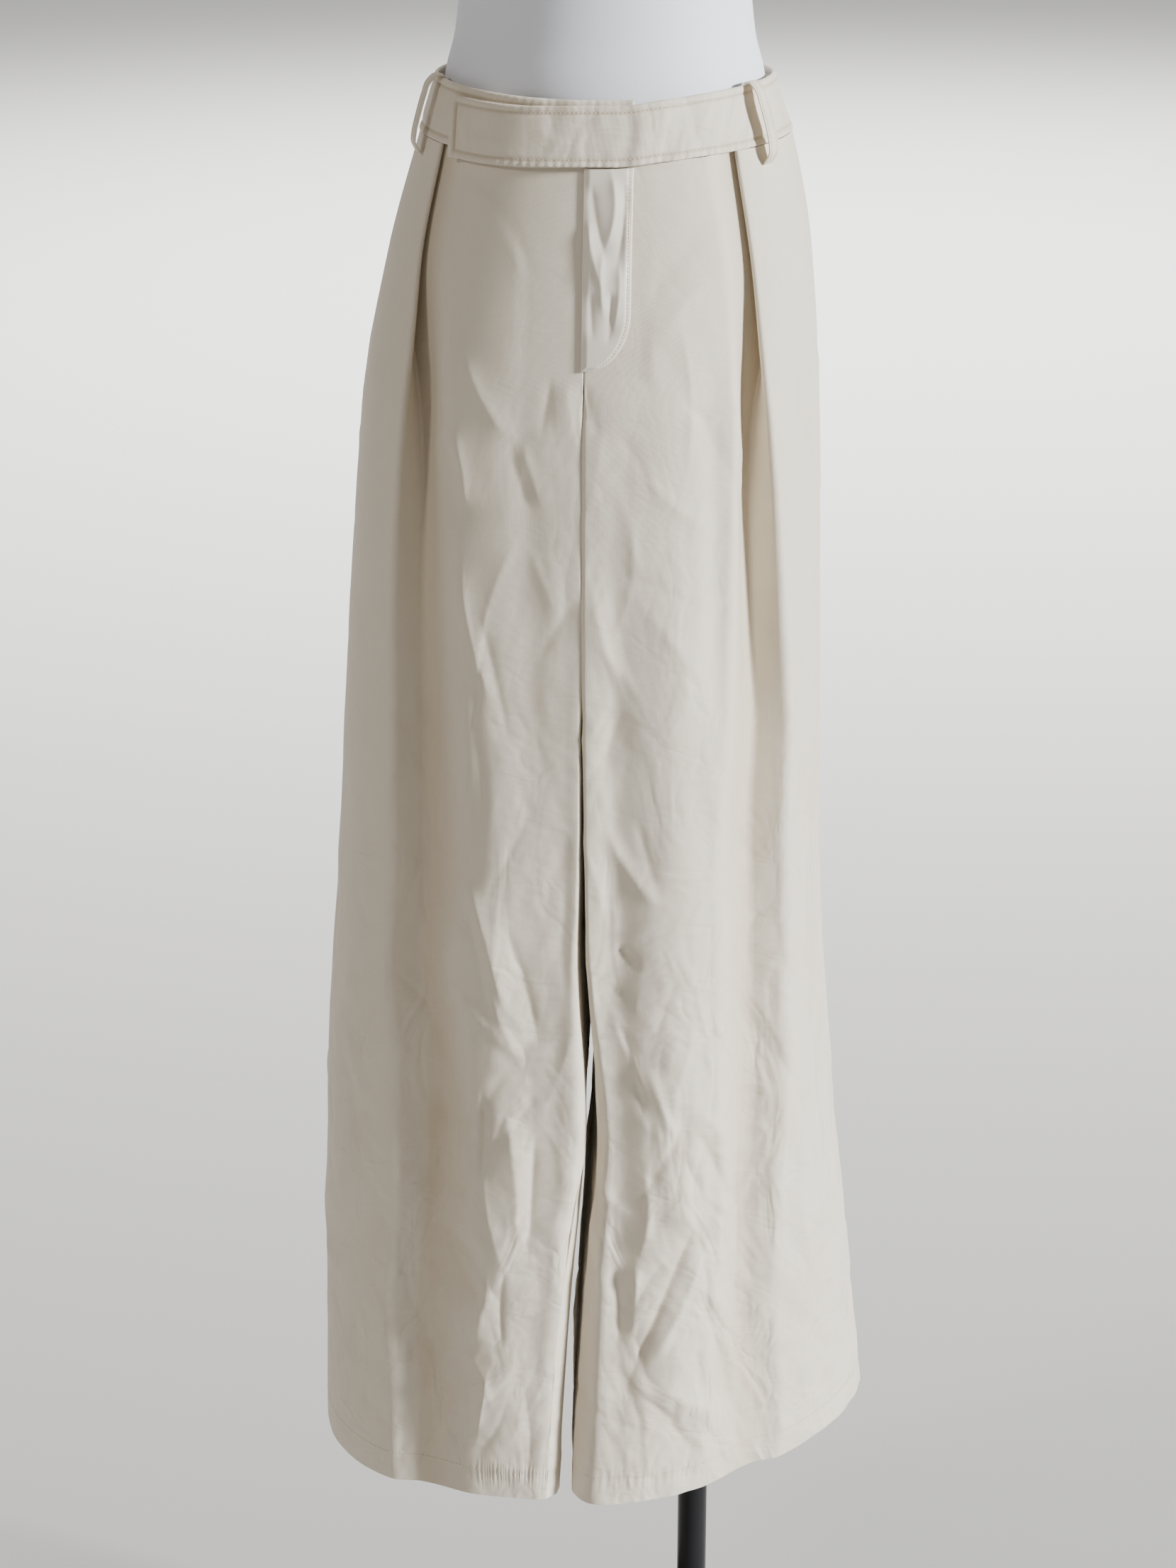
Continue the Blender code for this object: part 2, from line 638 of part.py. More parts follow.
def stacked(rings):
    """A closed solid of level rings of points, lowest first, with a flat face at each end,
    as points and faces."""
    count = len(rings[0])
    faces = [tuple(range(count))[::-1]]
    for low in range(0, count * (len(rings) - 1), count):
        for i in range(count):
            j = (i + 1) % count
            faces.append((low + i, low + j, low + count + j, low + count + i))
    faces.append(tuple(range(count * (len(rings) - 1), count * len(rings))))
    return np.vstack(rings), faces


def add_form(body):
    """The limbless dress form: hips, waist, plain chest, shoulders and a closed neck."""
    angles = np.linspace(0.0, 2 * math.pi, FORM_SEGMENTS, endpoint=False)
    across = np.sign(np.cos(angles)) * np.abs(np.cos(angles)) ** (2 / FORM_POWER)
    deep = np.sign(np.sin(angles)) * np.abs(np.sin(angles)) ** (2 / FORM_POWER)
    rings = [np.column_stack((half_width * across, half_depth * deep + back,
                              np.full(FORM_SEGMENTS, HEM_HEIGHT + height)))
             for height, half_width, half_depth, back in FORM_ROWS]
    add_object("dress_form", *stacked(rings), body)


def turned(profile, segments, centre_x):
    """A solid turned round an upright axis from a profile of (radius, height), base first."""
    angles = np.linspace(0.0, 2 * math.pi, segments, endpoint=False)
    return stacked([np.column_stack((centre_x + radius * np.cos(angles), radius * np.sin(angles),
                                     np.full(segments, height))) for radius, height in profile])


def add_stand(black):
    """The pole, with its flange and hub, and the plate that it stands on."""
    low = BASE_HEIGHT + SEAM_GAP
    high = HEM_HEIGHT + FORM_ROWS[0][0] - SEAM_GAP
    pole = ((HUB_RADIUS, low), (HUB_RADIUS, low + HUB_HEIGHT - HUB_BEVEL),
            (HUB_RADIUS - HUB_BEVEL, low + HUB_HEIGHT), (POLE_RADIUS, low + HUB_HEIGHT),
            (POLE_RADIUS, high - FLANGE_HEIGHT), (FLANGE_RADIUS, high - FLANGE_HEIGHT),
            (FLANGE_RADIUS, high))
    plate = ((BASE_RADIUS, 0.0), (BASE_RADIUS, BASE_HEIGHT - BASE_BEVEL),
             (BASE_RADIUS - BASE_BEVEL, BASE_HEIGHT))
    add_object("pole", *turned(pole, POLE_SEGMENTS, POLE_OFFSET), black)
    add_object("base_plate", *turned(plate, BASE_SEGMENTS, 0.0), black)


def main():
    for thing in list(bpy.data.objects):
        bpy.data.objects.remove(thing, do_unlink=True)
    cloth = add_material("cream_crepe", (0.78, 0.74, 0.66), 0.62)
    satin = add_material("cream_satin", (0.82, 0.79, 0.72), 0.40)
    body = add_material("pale_form", (0.70, 0.72, 0.78), 0.75)
    black = add_material("black_steel", (0.012, 0.012, 0.013), 0.30, 0.0)
    add_legs(cloth)
    add_waistband(cloth)
    add_belt_loops(cloth)
    add_fly(satin)
    add_form(body)
    add_stand(black)


main()
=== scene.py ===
"""Wide-leg pleated trousers on a limbless dress form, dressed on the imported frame.

Metres, +Z up, front towards -Y, the wearer's left towards +X, floor at 0.
"""
import math

import bpy
import numpy as np
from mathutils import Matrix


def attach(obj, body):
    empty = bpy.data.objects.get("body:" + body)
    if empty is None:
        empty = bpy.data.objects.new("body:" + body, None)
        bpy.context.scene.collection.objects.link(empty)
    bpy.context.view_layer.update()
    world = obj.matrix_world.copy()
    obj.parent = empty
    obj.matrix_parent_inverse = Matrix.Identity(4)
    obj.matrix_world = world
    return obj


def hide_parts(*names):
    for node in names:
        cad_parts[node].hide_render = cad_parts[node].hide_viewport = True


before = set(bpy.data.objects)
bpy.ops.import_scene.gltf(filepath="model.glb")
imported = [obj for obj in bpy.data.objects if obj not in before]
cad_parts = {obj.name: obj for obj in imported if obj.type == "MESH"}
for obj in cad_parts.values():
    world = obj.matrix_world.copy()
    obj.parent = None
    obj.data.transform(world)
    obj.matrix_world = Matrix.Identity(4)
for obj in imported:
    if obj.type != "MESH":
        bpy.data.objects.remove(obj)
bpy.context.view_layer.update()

# ---------------------------------------------------------------------------------------
# The leg panels: two fronts and two backs of cream crepe. Each front has one deep pleat,
# folded towards the side and sewn into the waist. The panels are sewn together down the
# side and the inside of each leg and round the crotch, and the hems are turned up.
HEM_HEIGHT = 0.310
OUTSEAM = 1.120
FRONT_DIP = 0.009
CROTCH = 0.822
FORK_FRONT = 0.100
FORK_BACK = 0.140
SEAM_GAP = 0.0003
CLOTH = 0.0011
HEM_TURN = 0.021
CORNER_FORK = 0.0025
CORNER_HEM = 0.020
INSEAM_Y = 0.010
BACK_POWER = 2.4
CROTCH_POWER = 2.2
LEGS_LEAN = 0.031
HEM_GAP = 0.0055
HEM_SLANT = 0.122
WALL_STEPS, CORNER_STEPS, QUARTER_STEPS = 16, 24, 160

# The legs' level sections, from the hem up. Reach is how far a leg stands out from the
# middle, side how far back its widest point is, power how square its front is, and inseam
# how far the wearer's right inseam has turned to the front.
SECTION_COLUMNS = ("height", "front", "back", "reach_right", "reach_left", "side_right",
                   "side_left", "power_right", "power_left", "inseam_right")
SECTION_ROWS = (
    (0.000, 0.155, 0.146, 0.236, 0.223, 0.020, 0.075, 2.60, 1.68, 0.165),
    (0.255, 0.147, 0.139, 0.231, 0.192, 0.020, 0.035, 2.40, 2.10, 0.152),
    (0.508, 0.140, 0.134, 0.215, 0.171, 0.020, 0.022, 2.40, 2.30, 0.075),
    (0.743, 0.135, 0.134, 0.197, 0.166, 0.020, 0.020, 2.40, 2.40, 0.000),
    (0.883, 0.129, 0.136, 0.184, 0.162, 0.018, 0.018, 2.40, 2.40, 0.000),
    (0.990, 0.119, 0.127, 0.163, 0.154, 0.014, 0.014, 2.30, 2.30, 0.000),
    (1.078, 0.106, 0.107, 0.137, 0.137, 0.010, 0.010, 2.20, 2.20, 0.000),
    (1.120, 0.098, 0.098, 0.1235, 0.123, 0.006, 0.006, 2.20, 2.20, 0.000),
)
# The pleat: its fold's edge and the far side of the trough beside it, how far the cloth is
# turned back on itself, and the radius of its two bends with the run between them.
PLEAT_COLUMNS = ("height", "fold_right", "fold_left", "crest_right", "crest_left", "turn",
                 "bend_in", "bend_out", "run")
PLEAT_ROWS = (
    (0.000, 0.157, 0.154, 0.088, 0.098, 22.0, 0.0220, 0.0220, 0.012),
    (0.255, 0.156, 0.153, 0.087, 0.100, 36.0, 0.0180, 0.0200, 0.015),
    (0.430, 0.154, 0.153, 0.086, 0.101, 48.0, 0.0130, 0.0150, 0.017),
    (0.630, 0.153, 0.150, 0.086, 0.101, 66.0, 0.0075, 0.0095, 0.018),
    (0.780, 0.148, 0.141, 0.090, 0.105, 80.0, 0.0040, 0.0060, 0.018),
    (0.860, 0.142, 0.134, 0.092, 0.106, 105.0, 0.0025, 0.0045, 0.018),
    (0.945, 0.132, 0.124, 0.097, 0.101, 160.0, 0.0012, 0.0028, 0.019),
    (1.000, 0.127, 0.117, 0.099, 0.095, 176.0, 0.0008, 0.0023, 0.020),
    (1.078, 0.112, 0.103, 0.086, 0.080, 180.0, 0.0007, 0.0022, 0.020),
)
# How the pleat's edge and its crest sway lower down: how far, how often, and from which side.
FOLD_SWAY = ((0.0035, 19.0, 1), (0.0020, 43.0, -1))
CREST_SWAY = ((0.0050, 13.0, -2), (0.0030, 31.0, 0))
# The large soft folds of the sides and back: the leg, each fold's bearing round it at the hem
# and at its upper end, the height of that end, its spread in degrees and its depth.
FOLD_ROWS = (
    (-1, 254, 262, 0.88, 15, -0.014),
    (-1, 306, 298, 0.72, 14, -0.011),
    (-1, 214, 224, 0.62, 14, -0.010),
    (-1, 234, 240, 0.60, 12, 0.008),
    (1, 262, 268, 0.86, 15, -0.013),
    (1, 300, 304, 0.68, 14, -0.012),
    (1, 222, 230, 0.56, 13, -0.011),
    (1, 243, 246, 0.52, 12, 0.008),
    (-1, 221, 221, 0.08, 12, 0.036),
)
# How many rows of cloth up a leg and columns round it: over the inner wall, its corner and
# the front to the pleat, the pleat's trough and bends, the rest of the front, and the back.
LEG_ROWS = 280
INNER_COLUMNS = (12, 8, 60)
FLANK_COLUMNS = 20
BEND_STEPS = 8
OUTER_COLUMNS = 34
BACK_COLUMNS = (5, 14, 8, 70)
CLOSEST = 0.0003
TANGENT_STEP = 0.0015
# The small changes of the cloth: how many short creases each leg has, how deep the net of
# faint ridges and the broad bumps are, the hem's line of stitches and its puckers, and the
# sewn seams, how much thicker the turned-up hem is, and how deep a hollow must be to take its
# full painted shade. Then where the cloth lies calm: beside and above the fly's foot, and
# near the waist.
SMALL_CREASES = 230
NET_DEPTH = 0.0022
BROAD_DEPTH = 0.0016
HEM_LINE_DEPTH = 0.0006
PUCKER_DEPTH = 0.00030
SEAM_DEPTH = 0.0005
TURN_UP_WALL = 0.0007
FULL_SHADE_DEPTH = 0.0040
FLY_REACH = 0.040
FLY_FOOT = 0.925
WAIST_CALM = 1.055
CREASE_ROUND = 0.14
PANEL_TOP = 1.0777


def table(columns, rows):
    """A table with named columns."""
    return dict(zip(columns, np.array(rows, dtype=float).T))


SECTIONS = table(SECTION_COLUMNS, SECTION_ROWS)
PLEAT = table(PLEAT_COLUMNS, PLEAT_ROWS)
SIDE_COLUMN = sum(INNER_COLUMNS) + FLANK_COLUMNS - 1 + 2 * (BEND_STEPS + 1) + OUTER_COLUMNS


def smooth(amount):
    """An even S-shaped change from 0 to 1."""
    amount = np.clip(amount, 0.0, 1.0)
    return amount * amount * (3.0 - 2.0 * amount)


def eased(t, start, end, leaving, arriving):
    """A curve from start to end as t goes from 0 to 1, with its slopes at both."""
    lower = (1 + 2 * t) * (1 - t) ** 2 * start + t * (1 - t) ** 2 * leaving
    return lower + (t * t * (3 - 2 * t) * end - t * t * (1 - t) * arriving)


def ridge(distance, width):
    """1 at a distance of 0, and less to both sides over a width."""
    return np.exp(-(distance / width) ** 2)


def lengths(path):
    """How far along a path each of its points is."""
    return np.concatenate(([0.0], np.cumsum(np.linalg.norm(np.diff(path, axis=0), axis=1))))


def places(path, length, distance):
    """The places at distances along a path."""
    return np.stack([np.interp(distance, length, column) for column in path.T], axis=-1)


def read(rows, name, height):
    """A table's column at a height, on a smooth curve that never overshoots its rows."""
    heights, values = rows["height"], rows[name]
    height = min(max(height, heights[0]), heights[-1])
    step = np.diff(heights)
    slope = np.diff(values) / step
    same_way = slope[1:] * slope[:-1] > 0
    middle = np.zeros(len(slope) - 1)
    middle[same_way] = (2.0 * slope[1:] * slope[:-1])[same_way] / (slope[1:] + slope[:-1])[same_way]
    tangent = np.concatenate((slope[:1], middle, slope[-1:]))
    i = min(max(int(np.searchsorted(heights, height)) - 1, 0), len(step) - 1)
    t = (height - heights[i]) / step[i]
    return eased(t, values[i], values[i + 1], step[i] * tangent[i], step[i] * tangent[i + 1])


def leg_name(side):
    """The wearer's side: +1 is left and -1 is right."""
    return "left" if side > 0 else "right"


def division(height):
    """Where the two legs part, across: they hang a little to the wearer's right."""
    return -LEGS_LEAN * smooth((0.55 - height) / 0.62) if height < CROTCH else 0.0


def half_gap(height):
    """Half the space between the two legs."""
    if height >= CROTCH:
        return SEAM_GAP / 2
    return SEAM_GAP / 2 + HEM_GAP * smooth((CROTCH - height) / CROTCH)


def crotch_curve(height, depth, rise):
    """How far the crotch seam stands out from the fork at a height above it."""
    up = min(max((height - CROTCH) / rise, 0.0), 1.0)
    return depth * (1.0 - (1.0 - up) ** CROTCH_POWER) ** (1 / CROTCH_POWER)


def folded(side, height, points, inner, reach):
    """The outline with the large soft folds of its sides and back."""
    centre = (inner + reach) / 2
    bearing = np.degrees(np.arctan2(-points[:, 1], centre - points[:, 0])) % 360
    around = points - np.array((centre, 0.0))
    outward = around / np.linalg.norm(around, axis=1)[:, None]
    shift = np.zeros(len(points))
    for leg, low_at, high_at, high, spread, depth in FOLD_ROWS:
        if leg == side and height <= high:
            off = bearing - (low_at + (high_at - low_at) * height / high)
            shift += depth * smooth((high - height) / min(0.10, high)) * ridge(off, spread)
    return points + outward * shift[:, None]


def outline(side, height):
    """A leg's level section as fine points [out from the middle, y], from the middle of
    its inner wall forwards and right round, with the distance along it to each point."""
    leg = leg_name(side)
    front, back = read(SECTIONS, "front", height), read(SECTIONS, "back", height)
    reach = read(SECTIONS, "reach_" + leg, height)
    side_y = read(SECTIONS, "side_" + leg, height)
    power = read(SECTIONS, "power_" + leg, height)
    inner = side * division(height) + half_gap(height)
    front_start = crotch_curve(height, front, FORK_FRONT)
    back_start = crotch_curve(height, back, FORK_BACK)
    corner = CORNER_FORK + (CORNER_HEM - CORNER_FORK) * smooth((0.60 - height) / 0.50)
    front_round, back_round = min(corner, front - front_start), min(corner, back - back_start)
    quarter = np.linspace(0.0, math.pi / 2, QUARTER_STEPS)
    bend = np.linspace(0.0, math.pi / 2, CORNER_STEPS + 1)[:-1]
    pieces = []
    wall = np.linspace(INSEAM_Y, -(front - front_round), WALL_STEPS + 1)[:-1]
    pieces.append(np.column_stack((np.full(WALL_STEPS, inner), wall)))
    pieces.append(np.column_stack((inner + front_round * (1 - np.cos(bend)),
                                   -(front - front_round) - front_round * np.sin(bend))))
    start = inner + front_round
    pieces.append(np.column_stack((start + (reach - start) * np.sin(quarter) ** (2 / power),
                                   side_y - (front + side_y) * np.cos(quarter) ** (2 / power))))
    start = inner + back_round
    round_back = np.column_stack((start + (reach - start) * np.cos(quarter) ** (2 / BACK_POWER),
                                  side_y + (back - side_y) * np.sin(quarter) ** (2 / BACK_POWER)))
    pieces.append(round_back[1:-1])
    pieces.append(np.column_stack((inner + back_round * (1 - np.cos(bend[::-1])),
                                   back - back_round + back_round * np.sin(bend[::-1]))))
    wall = np.linspace(back - back_round, INSEAM_Y, WALL_STEPS + 1)[1:]
    pieces.append(np.column_stack((np.full(WALL_STEPS, inner), wall)))
    points = folded(side, height, np.vstack(pieces), inner, reach)
    length = lengths(points)
    corner_end = WALL_STEPS + CORNER_STEPS
    side_index = corner_end + QUARTER_STEPS - 1
    back_index = len(points) - WALL_STEPS
    return {"points": points, "length": length, "front": (corner_end, side_index),
            "side": length[side_index], "total": length[-1],
            "front_corner": (length[WALL_STEPS], length[corner_end]),
            "back_corner": (length[back_index - CORNER_STEPS], length[back_index]),
            "front_start": front_start, "back_start": back_start}


def at(section, distance):
    """The points at distances along a section, and the way out of the cloth there."""
    def place(d):
        return places(section["points"], section["length"], d % section["total"])

    ahead = unit(place(distance + TANGENT_STEP) - place(distance - TANGENT_STEP))
    return place(distance), np.column_stack((ahead[:, 1], -ahead[:, 0]))


def distance_at(section, out):
    """How far along the section's front it reaches a distance out from the middle."""
    first, last = section["front"]
    return float(np.interp(out, section["points"][first:last, 0], section["length"][first:last]))


def pleat_fold(turn, bend_in, bend_out, run):
    """The pleat's fold as [along, out]: a bend back, a run and a bend forward again, with
    the edge that shows at 0 along."""
    turn = math.radians(turn)
    steps = [turn * i / BEND_STEPS for i in range(BEND_STEPS + 1)]
    first = [(bend_in * math.sin(a), bend_in * (1 - math.cos(a))) for a in steps]
    last = (first[-1][0] + run * math.cos(turn), first[-1][1] + run * math.sin(turn))
    second = [(last[0] + bend_out * (math.sin(turn) - math.sin(a)),
               last[1] + bend_out * (math.cos(a) - math.cos(turn))) for a in reversed(steps)]
    fold = np.array(first + second)
    return fold - np.array((second[BEND_STEPS // 2][0], second[-1][1]))


def seam_columns(height, start, stops, counts):
    """Places from a seam at start to each stop in turn, with so many columns between them.
    Above the fork the stops give way to even spaces."""
    even = smooth((height - CROTCH - 0.06) / 0.14)
    row = [start]
    for stop, count, share in zip(stops, counts, np.cumsum(counts) / sum(counts)):
        near = max(stop, row[-1] + count * CLOSEST)
        if share < 1.0:
            near += (start + (stops[-1] - start) * share - near) * even
        row.extend(np.linspace(row[-1], near, count + 1)[1:])
    return np.array(row)


def dip(height, y):
    """How much lower the garment is at the front middle than at its sides."""
    front = read(SECTIONS, "front", height)
    return FRONT_DIP * smooth((height - 0.82) / 0.22) * np.clip(-y / front, 0.0, 1.0) ** 2


def leg_row(side, height):
    """One row of a leg's outer surface, front panel then back panel, as 3-D points."""
    section = outline(side, height)
    if height <= CROTCH:
        turned = read(SECTIONS, "inseam_right", height) if side < 0 else 0.0
        start, end = turned, section["total"] + turned
    else:
        start = INSEAM_Y + section["front_start"]
        end = section["total"] - (section["back_start"] - INSEAM_Y)
    leg = leg_name(side)
    fold_at = distance_at(section, read(PLEAT, "fold_" + leg, height))
    crest = distance_at(section, read(PLEAT, "crest_" + leg, height))
    calm = smooth((0.80 - height) / 0.30)
    fold_at += calm * sum(far * math.sin(often * height + turn * side) for far, often, turn in FOLD_SWAY)
    crest += calm * sum(far * math.sin(often * height + turn * side) for far, often, turn in CREST_SWAY)
    fold = pleat_fold(*(read(PLEAT, name, height) for name in ("turn", "bend_in", "bend_out", "run")))
    foot = fold_at + min(-0.003, fold[0, 0] - 0.004)
    inner = seam_columns(height, start, (*section["front_corner"], crest), INNER_COLUMNS)
    flank = np.append(np.linspace(crest, foot, FLANK_COLUMNS)[1:-1], foot)
    flank_depth = fold[0, 1] * smooth((flank - crest) / (foot - crest))
    outer = np.linspace(fold_at + fold[-1, 0], section["side"], OUTER_COLUMNS + 1)[1:]
    low, high = section["back_corner"]
    turn = max(end - section["total"] - section["front_corner"][0], 0.2 * (end - high))
    back = -seam_columns(height, -end, (turn - end, -high, -low, -section["side"]),
                         BACK_COLUMNS)[-2::-1]
    along = np.concatenate((inner, flank, fold_at + fold[:, 0], outer, back))
    out = np.concatenate((np.zeros(len(inner)), flank_depth, fold[:, 1],
                          np.zeros(len(outer) + len(back))))
    if height > CROTCH:
        along = np.clip(along, start, end)
    point, outward = at(section, along)
    flat = point + outward * out[:, None]
    across, y = side * flat[:, 0], flat[:, 1]
    near = 1.0 - smooth(side * (across - division(height)) / 0.12)
    slant = HEM_SLANT * smooth((0.50 - height) / 0.20)
    return np.column_stack((across - slant * y * near, y, HEM_HEIGHT + height - dip(height, y)))


def unit(vectors):
    """Vectors at a length of 1."""
    return vectors / np.maximum(np.linalg.norm(vectors, axis=-1), 1e-12)[..., None]


def facing(grid, side):
    """The way out of a grid of points, [row, column]."""
    return unit(np.cross(np.gradient(grid, axis=1), np.gradient(grid, axis=0))) * side


# The creases that show in front, each a soft line through three places, picked in one of
# two enlarged views of the photograph: across and down in the view, whose upper left corner
# is given in the photograph's own 1659 x 2212 pixels. Width is how far a crease's sides spread,
# in millimetres, and a negative depth is a trough. First the wearer's right leg from its thigh
# down, then the left.
VIEW_TURN = math.radians(7.0)
VIEW_CORNERS = {"upper": (460, 160), "lower": (440, 1150)}
VIEW_ENLARGED = 1.4
CREASE_ROWS = (
    ("upper", 242, 118, 360, 212, 445, 400, 4.0, -2.0),
    ("upper", 240, 140, 345, 235, 430, 410, 4.8, 1.7),
    ("upper", 268, 460, 310, 570, 375, 655, 7.2, 1.5),
    ("upper", 470, 430, 478, 560, 490, 690, 7.2, 0.9),
    ("upper", 452, 470, 438, 560, 420, 650, 4.8, -1.5),
    ("upper", 362, 640, 380, 720, 412, 805, 5.0, -1.1),
    ("upper", 385, 640, 405, 720, 432, 790, 6.4, 1.1),
    ("upper", 230, 600, 268, 700, 266, 800, 7.2, 2.4),
    ("upper", 215, 620, 248, 730, 245, 860, 7.2, -1.5),
    ("upper", 262, 870, 290, 1040, 335, 1180, 8.0, 2.5),
    ("upper", 395, 860, 430, 930, 470, 1030, 8.0, 1.1),
    ("upper", 300, 980, 335, 1120, 365, 1265, 6.4, -1.8),
    ("lower", 300, 110, 345, 250, 392, 420, 8.8, 4.2),
    ("lower", 372, 200, 420, 340, 450, 480, 6.1, -2.6),
    ("lower", 285, 130, 325, 270, 350, 420, 5.4, -2.2),
    ("lower", 110, 180, 80, 290, 66, 360, 6.1, 2.5),
    ("lower", 72, 370, 104, 480, 155, 600, 6.8, 3.2),
    ("lower", 60, 440, 85, 540, 95, 640, 5.4, -2.2),
    ("lower", 335, 540, 340, 640, 330, 740, 5.4, -2.5),
    ("lower", 375, 560, 405, 730, 398, 900, 10.2, 3.5),
    ("lower", 440, 620, 432, 760, 425, 900, 6.1, -2.5),
    ("lower", 240, 540, 235, 680, 225, 830, 9.5, -2.8),
    ("lower", 165, 640, 180, 760, 195, 880, 8.8, 2.6),
    ("lower", 255, 830, 300, 920, 345, 980, 5.4, -2.5),
    ("lower", 345, 880, 335, 970, 312, 1060, 5.4, 2.6),
    ("lower", 385, 870, 372, 980, 380, 1080, 5.4, -2.0),
    ("lower", 190, 880, 215, 980, 240, 1060, 5.4, 2.5),
    ("lower", 75, 830, 100, 930, 125, 1030, 5.4, 2.6),
    ("lower", 120, 880, 85, 960, 62, 1050, 4.8, -2.2),
    ("lower", 240, 1010, 232, 1090, 225, 1180, 6.1, -2.5),
    ("lower", 165, 1010, 150, 1100, 152, 1190, 5.4, 2.6),
    ("lower", 350, 1090, 338, 1160, 325, 1240, 4.8, 2.2),
    ("lower", 90, 1080, 125, 1140, 165, 1200, 4.8, -2.0),
    ("upper", 612, 420, 700, 290, 815, 190, 9.0, -2.2),
    ("upper", 640, 470, 740, 340, 840, 260, 10.0, 2.0),
    ("upper", 512, 505, 522, 590, 552, 645, 5.6, -1.4),
    ("upper", 703, 558, 735, 590, 768, 612, 4.0, -1.5),
    ("upper", 800, 640, 860, 700, 880, 800, 7.2, -0.9),
    ("upper", 603, 690, 690, 775, 785, 835, 5.6, 1.1),
    ("upper", 560, 700, 600, 830, 620, 960, 9.6, 0.9),
    ("upper", 538, 905, 655, 935, 768, 1000, 4.0, -0.8),
    ("upper", 522, 920, 548, 1040, 592, 1165, 8.8, 2.5),
    ("upper", 640, 1000, 705, 1090, 700, 1210, 8.8, 1.4),
    ("upper", 592, 1165, 560, 1240, 546, 1335, 7.2, -1.7),
    ("lower", 572, 5, 625, 110, 700, 188, 6.1, 2.6),
    ("lower", 640, 0, 665, 90, 690, 160, 5.4, -1.6),
    ("lower", 598, 255, 622, 285, 655, 302, 4.1, -2.5),
    ("lower", 925, 250, 948, 300, 965, 350, 4.8, -1.6),
    ("lower", 585, 335, 612, 358, 645, 372, 4.1, -1.6),
    ("lower", 580, 380, 622, 470, 668, 570, 7.5, 3.5),
    ("lower", 600, 400, 632, 490, 655, 600, 5.4, -2.6),
    ("lower", 905, 415, 935, 452, 960, 480, 4.8, -2.5),
    ("lower", 652, 470, 695, 580, 722, 650, 6.8, 2.8),
    ("lower", 955, 480, 915, 570, 895, 650, 5.4, 2.6),
    ("lower", 745, 560, 700, 670, 640, 770, 6.8, -3.0),
    ("lower", 735, 590, 800, 700, 845, 830, 6.1, -2.8),
    ("lower", 530, 640, 570, 750, 655, 795, 5.4, 2.5),
    ("lower", 905, 610, 935, 655, 905, 700, 4.1, -2.0),
    ("lower", 650, 690, 665, 790, 640, 890, 6.8, 3.2),
    ("lower", 762, 790, 700, 940, 600, 1190, 6.8, -4.1),
    ("lower", 790, 800, 735, 950, 650, 1120, 8.2, 3.5),
    ("lower", 835, 820, 930, 970, 1055, 1120, 6.1, -3.8),
    ("lower", 810, 830, 900, 980, 1010, 1120, 7.5, 3.5),
    ("lower", 640, 860, 642, 960, 632, 1050, 7.5, 3.8),
    ("lower", 590, 880, 605, 970, 600, 1070, 6.1, -3.0),
    ("lower", 745, 890, 850, 1040, 985, 1180, 8.2, 4.1),
    ("lower", 762, 915, 805, 1070, 842, 1235, 6.8, -3.2),
    ("lower", 838, 1035, 895, 1005, 950, 1050, 5.4, 1.6),
    ("lower", 960, 1020, 1010, 1090, 1040, 1170, 5.4, 2.2),
    ("lower", 672, 1115, 745, 1170, 825, 1218, 6.8, 3.2),
    ("lower", 650, 1140, 700, 1190, 745, 1270, 5.4, -2.6),
)
# The camera behind those places: the photograph's middle and the focal length in its pixels,
# and how far the camera is from the garment's middle, above its hem and to one side. Then a
# plain front to carry the places: how far forward it is by height, its half width at the fork
# and at the waist with how fast they change, and how square it is.
PHOTO_MIDDLE, PHOTO_FOCUS = (829.5, 1106.0), 4270.0
VIEW_DISTANCE, VIEW_HEIGHT, VIEW_ASIDE = 2.2605, 1.387125, 0.01233
VIEW_TILT = math.radians(20.0)
PLAIN_HEIGHTS = (0.0, 0.3, 0.6, 0.83, 0.94, 1.075, 1.12)
PLAIN_FORWARD = (0.155, 0.146, 0.138, 0.133, 0.125, 0.106, 0.098)
PLAIN_FORK, PLAIN_WAIST = (0.83, 0.17, 0.05), (1.075, 0.14, 0.12)
PLAIN_POWER = 2.3
PLACE_ROUNDS = 12
# The broad soft rises and falls of the fronts, each running up a leg: across at its lower
# and upper end, how far up it starts and stops, its width and its depth, in millimetres.
DRAPE_ROWS = (
    (-172, -156, -60, 780, 11, 3.5),
    (-82, -84, -60, 800, 20, 4.0),
    (-26, -16, -60, 830, 15, -4.5),
    (12, 8, -60, 930, 15, -4.0),
    (62, 50, -60, 940, 21, 4.5),
    (106, 102, 660, 990, 10, 2.4),
    (86, 76, 640, 960, 9, -2.4),
    (-52, -60, 560, 1000, 14, -1.6),
    (168, 160, -60, 760, 12, 5.0),
    (128, 124, -60, 760, 15, -5.0),
)
